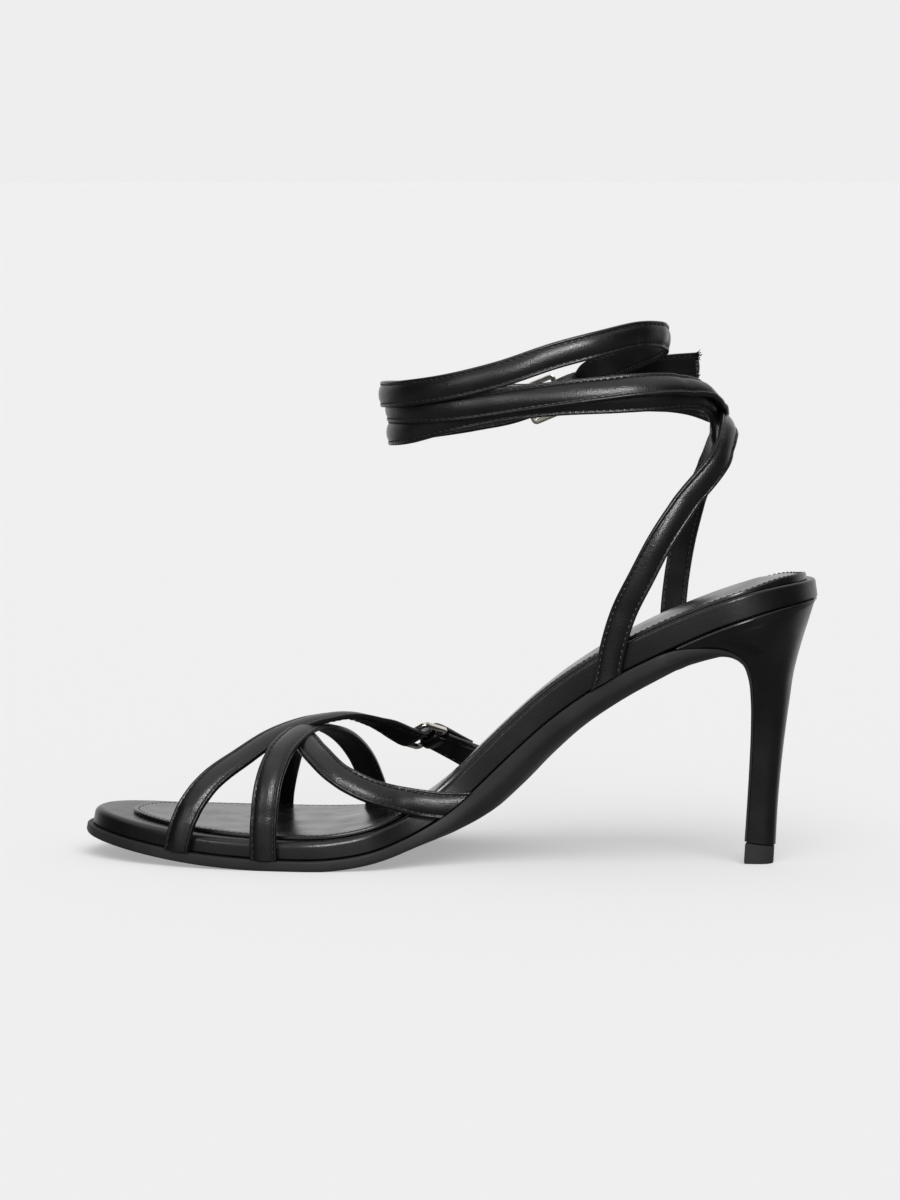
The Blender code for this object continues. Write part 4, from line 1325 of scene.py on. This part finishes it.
class Strap:
    """A band's line with its own axes at every point."""

    def __init__(self, line, outward, width, thick=STRAP_THICK, lift=no_lift, creases=None):
        self.width = width
        self.thick = thick
        self.creases = creases
        self.travel = travel_along(line)
        self.middles = []
        self.runs = []
        self.sides = []
        self.outs = []
        for number, travel in enumerate(self.travel):
            run, side, out = axes_at(line, number, outward)
            self.middles.append(line[number] + out * lift(travel))
            self.runs.append(run)
            self.sides.append(side)
            self.outs.append(out)

    def crease(self, travel, across):
        return self.creases.rise(travel, across) if self.creases else 0.0

    def rings(self, section=None):
        section = section or strap_section(self.width, self.thick)
        rings = []
        for travel, middle, side, out in zip(self.travel, self.middles, self.sides, self.outs):
            ring = []
            for across, rise in section:
                ring.append(middle + side * across + out * (rise + self.crease(travel, across)))
            rings.append(ring)
        return rings

    def lining(self):
        """A thin strip along the back of the strap, between its rows of stitches."""
        half = self.width / 2 - STITCH_INWARD - LINING_MARGIN
        flat = half * LINING_FLAT
        sunk = LINING_SUNK - STRAP_THICK / 2
        proud = -LINING_PROUD - STRAP_THICK / 2
        return self.rings([(half, sunk), (-half, sunk), (-flat, proud), (flat, proud)])

    def point(self, travel, across, out):
        """A point on the strap and the directions along it and out of it."""
        number = min(int(np.searchsorted(self.travel, travel)), len(self.travel) - 1)
        before = max(number - 1, 0)
        span = self.travel[number] - self.travel[before]
        share = (travel - self.travel[before]) / span if span > 0 else 0.0
        middle = self.middles[before] * (1 - share) + self.middles[number] * share
        place = middle + self.sides[number] * across + self.outs[number] * out
        return place, self.runs[number], self.outs[number]


def trim(rings):
    """Cuts both ends of a strap inside the joint of footbed and outsole."""
    rings = [list(ring) for ring in rings]
    for order in (range(len(rings)), range(len(rings) - 1, -1, -1)):
        order = list(order)
        for k in range(len(rings[0])):
            buried = []
            for number in order:
                height = above_joint(rings[number][k]) + GAP / 2
                if height >= 0:
                    break
                buried.append((number, height))
            if not buried or len(buried) == len(rings):
                continue
            low = rings[buried[-1][0]][k]
            high = rings[number][k]
            cut = low + (high - low) * (-buried[-1][1]) / (height - buried[-1][1])
            for below, depth in buried:
                rings[below][k] = cut
    return rings


class Buckle:
    """A square frame, its prong and the loop of strap round its rear bar, seated on a strap."""

    def __init__(self, centre, run, side, out):
        self.centre = centre
        self.run = run
        self.side = side
        self.out = out

    def at(self, along, above):
        return self.centre + self.run * along + self.out * above

    def frame(self, name):
        bar = round_rectangle(BAR_WIDE, BAR_THICK, BAR_BEVEL, BAR_BEVEL_STEPS)
        size = (FRAME_LONG - BAR_WIDE, FRAME_WIDE - BAR_WIDE)
        middles = round_rectangle(*size, FRAME_CORNER, FRAME_CORNER_STEPS)
        rings = []
        for along, across, angle in middles:
            away = self.run * math.cos(angle) + self.side * math.sin(angle)
            middle = self.at(along, 0.0) + self.side * across
            rings.append([middle + away * wide + self.out * thick for wide, thick, turn in bar])
        return Shell().tube(rings, closed=True).make(name, sharp=FRAME_SHARP)

    def hold(self, outward):
        """An outward direction that stays square to the buckle while the strap is close to it."""
        def held(point):
            share = ramp(np.linalg.norm(point - self.centre), HOLD_END, HOLD_START)
            return unit(outward(point)) * (1 - share) + self.out * share
        return held

    def line(self, rows, step):
        return route([self.at(**row) for row in named(BUCKLE_COLUMNS, rows)], step)

    def prong(self, name):
        line = self.line(PRONG_ROWS, PRONG_STEP)
        rings = []
        for number, point in enumerate(line):
            run = unit(line[min(number + 1, len(line) - 1)] - line[max(number - 1, 0)])
            out = np.cross(run, self.side)
            reach = number / (len(line) - 1)
            radius = PRONG_RADIUS * min(1.0, PRONG_END + PRONG_SWELL * min(reach, 1 - reach))
            rings.append(circle(point, self.side, out, radius, PRONG_SIDES))
        return Shell().tube(rings).make(name)

    def loop(self):
        axis = self.at(LOOP_AXIS, 0.0)
        return Strap(self.line(LOOP_ROWS, LOOP_STEP), lambda point: point - axis, LOOP_WIDTH, LOOP_THICK)


def lift_from(rows):
    table = Table(("travel", "lift"), rows)
    first = rows[0][0]
    last = rows[-1][0]
    return lambda travel: float(table.at("lift", min(max(travel, first), last)))


def seat_buckle(line, place, outward, lift):
    """The buckle over the point of a strap line nearest to a place, and its travel along that line."""
    number = nearest_number(line, place)
    run, side, out = axes_at(line, number, outward)
    return Buckle(line[number] + out * lift, run, side, out), travel_along(line)[number]


def punch(shell, strap, travel):
    """The mouth of a punched hole, dished into the middle of a strap's face and coloured with painted shade
    that stands in for the hole's depth.
    """
    centre, run, out = strap.point(travel, 0.0, FACE_CROWN + strap.crease(travel, 0.0) + HOLE_RISE)
    ring = circle(centre, run, np.cross(out, run), HOLE_RADIUS, HOLE_SIDES)
    shell.tube([ring, [point - out * HOLE_DEPTH for point in ring]])


def stitch(shell, place, run, out, length, radius):
    """One stitch of thread, sunk at both ends."""
    side = np.cross(out, run)
    rings = []
    for row in named(STITCH_COLUMNS, STITCH_ROWS):
        middle = place + run * length * row["place"] + out * radius * row["rise"]
        rings.append(circle(middle, side, out, radius * row["girth"], STITCH_SIDES))
    shell.tube(rings)


def stitch_rows(shell, strap):
    """Rows of stitches along both edges of a strap, on its face and on its lining."""
    count = int((strap.travel[-1] - 2 * STITCH_END) / STITCH_PITCH)
    for face, groove in ((1, FACE_GROOVE), (-1, LINING_GROOVE)):
        for edge_side in (1, -1):
            across = edge_side * (strap.width / 2 - STITCH_INWARD)
            for number in range(count):
                travel = STITCH_END + (number + 0.5) * STITCH_PITCH
                rise = groove + strap.crease(travel, across) + face * STITCH_RISE
                place, run, away = strap.point(travel, across, rise)
                if above_joint(place) > STITCH_CLEAR:
                    stitch(shell, place, run, away * face, STITCH_LENGTH, THREAD_RADIUS)


def fray(strap, name, slot):
    """Loose fibres at the cut end of a strap, near its upper corner."""
    shell = Shell()
    place, run, away = strap.point(strap.travel[-1], 0.0, 0.0)
    side = np.cross(away, run)
    upward = side if side[2] > 0 else -side
    for row in named(FRAY_COLUMNS, FRAY_ROWS):
        start = place + upward * row["height"] + away * row["out"]
        rings = []
        for k in range(FRAY_STEPS + 1):
            share = k / FRAY_STEPS
            centre = start + run * (row["length"] * share) + upward * (row["rise"] * share * share)
            rings.append(circle(centre, away, upward, FRAY_RADIUS * (1 - FRAY_TAPER * share), FRAY_SIDES))
        shell.tube(rings)
    dress(shell.make(name), strap_lining(name), slot)


def dress_straps(part, bands, buckle, holed, holes, frayed=None):
    """Dresses a group of straps with leather, linings, punched holes dark with painted shade, a frayed end,
    thread and a buckle.
    """
    slot = part + "_straps"
    faces = Shell()
    linings = Shell()
    mouths = Shell()
    stitches = Shell()
    for band in bands:
        faces.tube(trim(band.rings()))
        linings.tube(trim(band.lining()))
        stitch_rows(stitches, band)
    faces.tube(buckle.loop().rings())
    for place in holes:
        punch(mouths, holed, place)
    straps = dress(faces.make(slot + "_leather", sharp=STRAP_SHARP), leather(part + "_leather"), slot, slot)
    # The linings get their leather, and the hole mouths get the painted hole shade
    for shell, looks, ending in ((linings, strap_lining, "lining"), (mouths, painted_hole_shade, "holes")):
        name = part + "_strap_" + ending
        dress(shell.make(name), looks(name), slot)
    if frayed:
        fray(frayed, part + "_strap_fray", slot)
    dress(stitches.make(part + "_strap_stitches"), thread(part + "_thread"), slot)
    for ending, piece, make in (("buckle", "frame", buckle.frame), ("prong", "prong", buckle.prong)):
        node = part + "_" + ending
        dress(make(part + "_buckle_" + piece), polished_metal(node + "_metal"), node, node)
    return straps


def buckled_lift(place, start, frame_lift, tail, tail_lift):
    """Rows of travel and lift for a strap that passes under a buckle's front bar and over its rear one."""
    return (
        (place - start, 0.0),
        (place - BAR_CENTRE, frame_lift + UNDER_BAR),
        (place + BAR_CENTRE, frame_lift + OVER_LOOP),
        (place + tail, tail_lift),
    )


# Toe straps: A lies outermost and carries the buckle, over its own base strap on the outer side
points_a = [on_last(**row) for row in named(TOE_COLUMNS, STRAP_A_ROWS)]
points_b = [on_last(**row) for row in named(TOE_COLUMNS, STRAP_B_ROWS)]
points_c = [on_last(**row) for row in named(TOE_COLUMNS, STRAP_C_ROWS)]
seat_line = route(points_a, TOE_STEP)
toe_buckle, toe_place = seat_buckle(seat_line, points_a[TOE_BUCKLE_ROW], toe_outward, TOE_FRAME_LIFT)
line_a = route(points_a, STRAP_STEP)
line_b = route(points_b, STRAP_STEP)
line_c = route(points_c, STRAP_STEP)
travel_a = travel_along(line_a)
tail_end = int(np.argmin(abs(travel_a - toe_place - TOE_TAIL)))
base_start = int(np.argmin(abs(travel_a - toe_place - BAR_CENTRE - BASE_START)))
lift_a = lift_from(buckled_lift(toe_place, TOE_LIFT_START, TOE_FRAME_LIFT, TOE_TAIL, TOE_TAIL_LIFT))
lift_base = lift_from(((0.0, TOE_FRAME_LIFT), (BASE_SETTLE, 0.0)))
toe_held = toe_buckle.hold(toe_outward)
creases_a = Creases(line_a, points_a, CREASE_A_ROWS)
creases_b = Creases(line_b, points_b, CREASE_B_ROWS)
creases_c = Creases(line_c, points_c, CREASE_C_ROWS)
strap_a = Strap(line_a[:tail_end + 1], toe_held, TOE_STRAP_WIDTH, lift=lift_a, creases=creases_a)
strap_b = Strap(line_b, toe_outward, TOE_STRAP_WIDTH, creases=creases_b)
strap_c = Strap(line_c, toe_outward, TOE_STRAP_WIDTH, creases=creases_c)
strap_base = Strap(line_a[base_start:], toe_held, TOE_BASE_WIDTH, lift=lift_base)
toe_holes = [toe_place + past for past in TOE_HOLES]
dress_straps("toe", (strap_a, strap_b, strap_c, strap_base), toe_buckle, strap_a, toe_holes)

# Ankle straps: F passes through the buckle, N winds round the ankle and holds the buckle's rear bar
points_f = [np.array(row) for row in STRAP_F_ROWS]
seat_line = route(points_f, ANKLE_STEP)
ankle_seat = points_f[ANKLE_BUCKLE_ROW]
ankle_buckle, ankle_place = seat_buckle(seat_line, ankle_seat, ankle_outward, ANKLE_FRAME_LIFT)
line_f = route(points_f, STRAP_STEP)
lift_rows = buckled_lift(ankle_place, ANKLE_LIFT_START, ANKLE_FRAME_LIFT, ANKLE_TAIL, ANKLE_TAIL_LIFT)
lift_f = lift_from(lift_rows + ((travel_along(line_f)[-1], 0.0),))
end_points = [ankle_buckle.at(**row) for row in named(BUCKLE_COLUMNS, ANKLE_END_ROWS)]
points_n = [np.array(row) for row in STRAP_N_ROWS]
line_n = route(points_n + end_points, STRAP_STEP)
creases_n = Creases(line_n, points_n, CREASE_N_ROWS)
creases_f = Creases(line_f, points_f, CREASE_F_ROWS)
ankle_held = ankle_buckle.hold(ankle_outward)
strap_n = Strap(line_n, wound_outward, ANKLE_STRAP_WIDTH, creases=creases_n)
strap_f = Strap(line_f, ankle_held, ANKLE_STRAP_WIDTH, lift=lift_f, creases=creases_f)
ankle_holes = [ankle_place + past for past in ANKLE_HOLES]
ankle_bands = (strap_n, strap_f)
ankle_straps = dress_straps("ankle", ankle_bands, ankle_buckle, strap_f, ankle_holes, frayed=strap_f)


# Sock stitches, all round inside the sock's edge
def sock_groove(along, aside):
    """The stitches' height, lower in front of the heel's seat."""
    return over_footbed(SOCK_STITCH_HEIGHT)(along, aside) - SOCK_STITCH_SINK * ramp(along, *SOCK_SINK_SPAN)


sock_line = border(level(inset(sock_sides, SOCK_STITCH_INWARD), sock_groove, on_last))
sock_line = even_points(np.array(sock_line + sock_line[:1]), SOCK_PITCH)
sock_thread = Shell()
for before, after in zip(sock_line, sock_line[1:]):
    run = unit(after - before)
    up = way_up(last_pitch[nearest_station(before)])
    stitch(sock_thread, (before + after) / 2, run, unit(up - run * (up @ run)), SOCK_STITCH, SOCK_THREAD)
dress(sock_thread.make("sock_stitches"), thread("sock_thread", BLACK, rough=0.7), "sock")


# Stage
def pale_floor():
    ahead = np.array([1.0, 0.0, 0.0])
    aside = np.array([0.0, 1.0, 0.0])
    rings = [circle(ORIGIN, ahead, aside, radius / MM, FLOOR_SIDES) for radius in FLOOR_RADII]
    shell = Shell()
    for inner, outer in zip(rings, rings[1:]):
        shell.band(inner, outer)
    floor = shell.make("floor")
    made = Finish("floor_paper", (FLOOR_SHADE, FLOOR_SHADE, FLOOR_SHADE, 1), roughness=0.9, specular=0.1)
    made.shader.inputs["Emission Color"].default_value = (1, 1, 1, 1)
    made.shader.inputs["Emission Strength"].default_value = FLOOR_GLOW
    floor.data.materials.append(made.material)
    floor.visible_glossy = False
    floor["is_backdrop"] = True
    return floor


def aimed(name, data, place, aim):
    """A lamp or a camera at a place, turned towards an aim."""
    made = bpy.data.objects.new(name, data)
    made.location = place
    made.rotation_mode = "QUATERNION"
    made.rotation_quaternion = (Vector(aim) - Vector(place)).to_track_quat("-Z", "Y")
    bpy.context.scene.collection.objects.link(made)
    return made


def lit_by(name, lamp, place, aim, power, pieces):
    """A light on some pieces alone."""
    lamp.energy = power
    light = aimed(name, lamp, place, aim)
    light.visible_camera = False
    lit = bpy.data.collections.new(name + "_receivers")
    for piece in pieces:
        lit.objects.link(piece)
    light.light_linking.receiver_collection = lit


def softboxes(rows, pieces):
    for row in named(LIGHT_COLUMNS, rows):
        lamp = bpy.data.lights.new(row["name"], "AREA")
        lamp.shape = "RECTANGLE"
        lamp.size, lamp.size_y = row["size"]
        lit_by(row["name"], lamp, row["place"], LIGHT_AIM, row["power"], pieces)


def floor_light(floor):
    """Even soft light from in front on the floor alone, so that the shoe's shadow falls behind it."""
    lamp = bpy.data.lights.new("floor_light", "SUN")
    lamp.angle = math.radians(FLOOR_LIGHT_SPREAD)
    lit_by("floor_light", lamp, FLOOR_LIGHT_PLACE, (0, 0, 0), FLOOR_LIGHT, [floor])


def studio_sky():
    """The light of the room, its backdrop and what the shoe mirrors of it."""
    world = bpy.data.worlds.new("studio")
    world.use_nodes = True
    tree = world.node_tree

    def mixed(factor, first, second):
        node = tree.nodes.new("ShaderNodeMix")
        tree.links.new(factor, node.inputs["Factor"])
        for name, value in (("A", first), ("B", second)):
            if isinstance(value, float):
                node.inputs[name].default_value = value
            else:
                tree.links.new(value, node.inputs[name])
        return node.outputs["Result"]

    parts = tree.nodes.new("ShaderNodeSeparateXYZ")
    tree.links.new(tree.nodes.new("ShaderNodeTexCoord").outputs["Generated"], parts.inputs["Vector"])
    forward = parts.outputs["Y"]
    upward = parts.outputs["Z"]
    rays = tree.nodes.new("ShaderNodeLightPath").outputs
    mirrored = ranged(tree, forward, BACK_SPAN, (MIRRORED_BACK, MIRRORED_SIDES), smooth=True)
    mirrored = mixed(ranged(tree, forward, FRONT_SPAN, (0.0, 1.0), smooth=True), mirrored, MIRRORED_FRONT)
    mirrored = mixed(ranged(tree, upward, TOP_SPAN, (0.0, 1.0), smooth=True), mirrored, MIRRORED_TOP)
    floor = ranged(tree, forward, FLOOR_BACK_SPAN, (MIRRORED_FLOOR_BACK, MIRRORED_FLOOR), smooth=True)
    floor = mixed(ranged(tree, upward, UNDERNEATH_SPAN, (1.0, 0.0), smooth=True), floor, MIRRORED_FLOOR)
    mirrored = mixed(ranged(tree, upward, FLOOR_SPAN, (1.0, 0.0), smooth=True), mirrored, floor)
    strength = mixed(rays["Is Glossy Ray"], ROOM_LIGHT, mirrored)
    strength = mixed(rays["Is Camera Ray"], strength, BACKDROP)
    background = tree.nodes["Background"]
    background.inputs["Color"].default_value = (1, 1, 1, 1)
    tree.links.new(strength, background.inputs["Strength"])
    bpy.context.scene.world = world


def studio():
    floor_light(pale_floor())
    studio_sky()
    softboxes(SHOE_LIGHT_ROWS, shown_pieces())
    softboxes(STRAP_LIGHT_ROWS, [ankle_straps])
    bpy.context.scene.view_settings.view_transform = "Standard"


def photo_camera():
    lens = bpy.data.cameras.new("photo_camera")
    lens.lens = CAMERA_LENS
    lens.sensor_width = SENSOR_WIDTH
    bpy.context.scene.camera = aimed("photo_camera", lens, CAMERA_PLACE, CAMERA_AIM)


studio()
photo_camera()
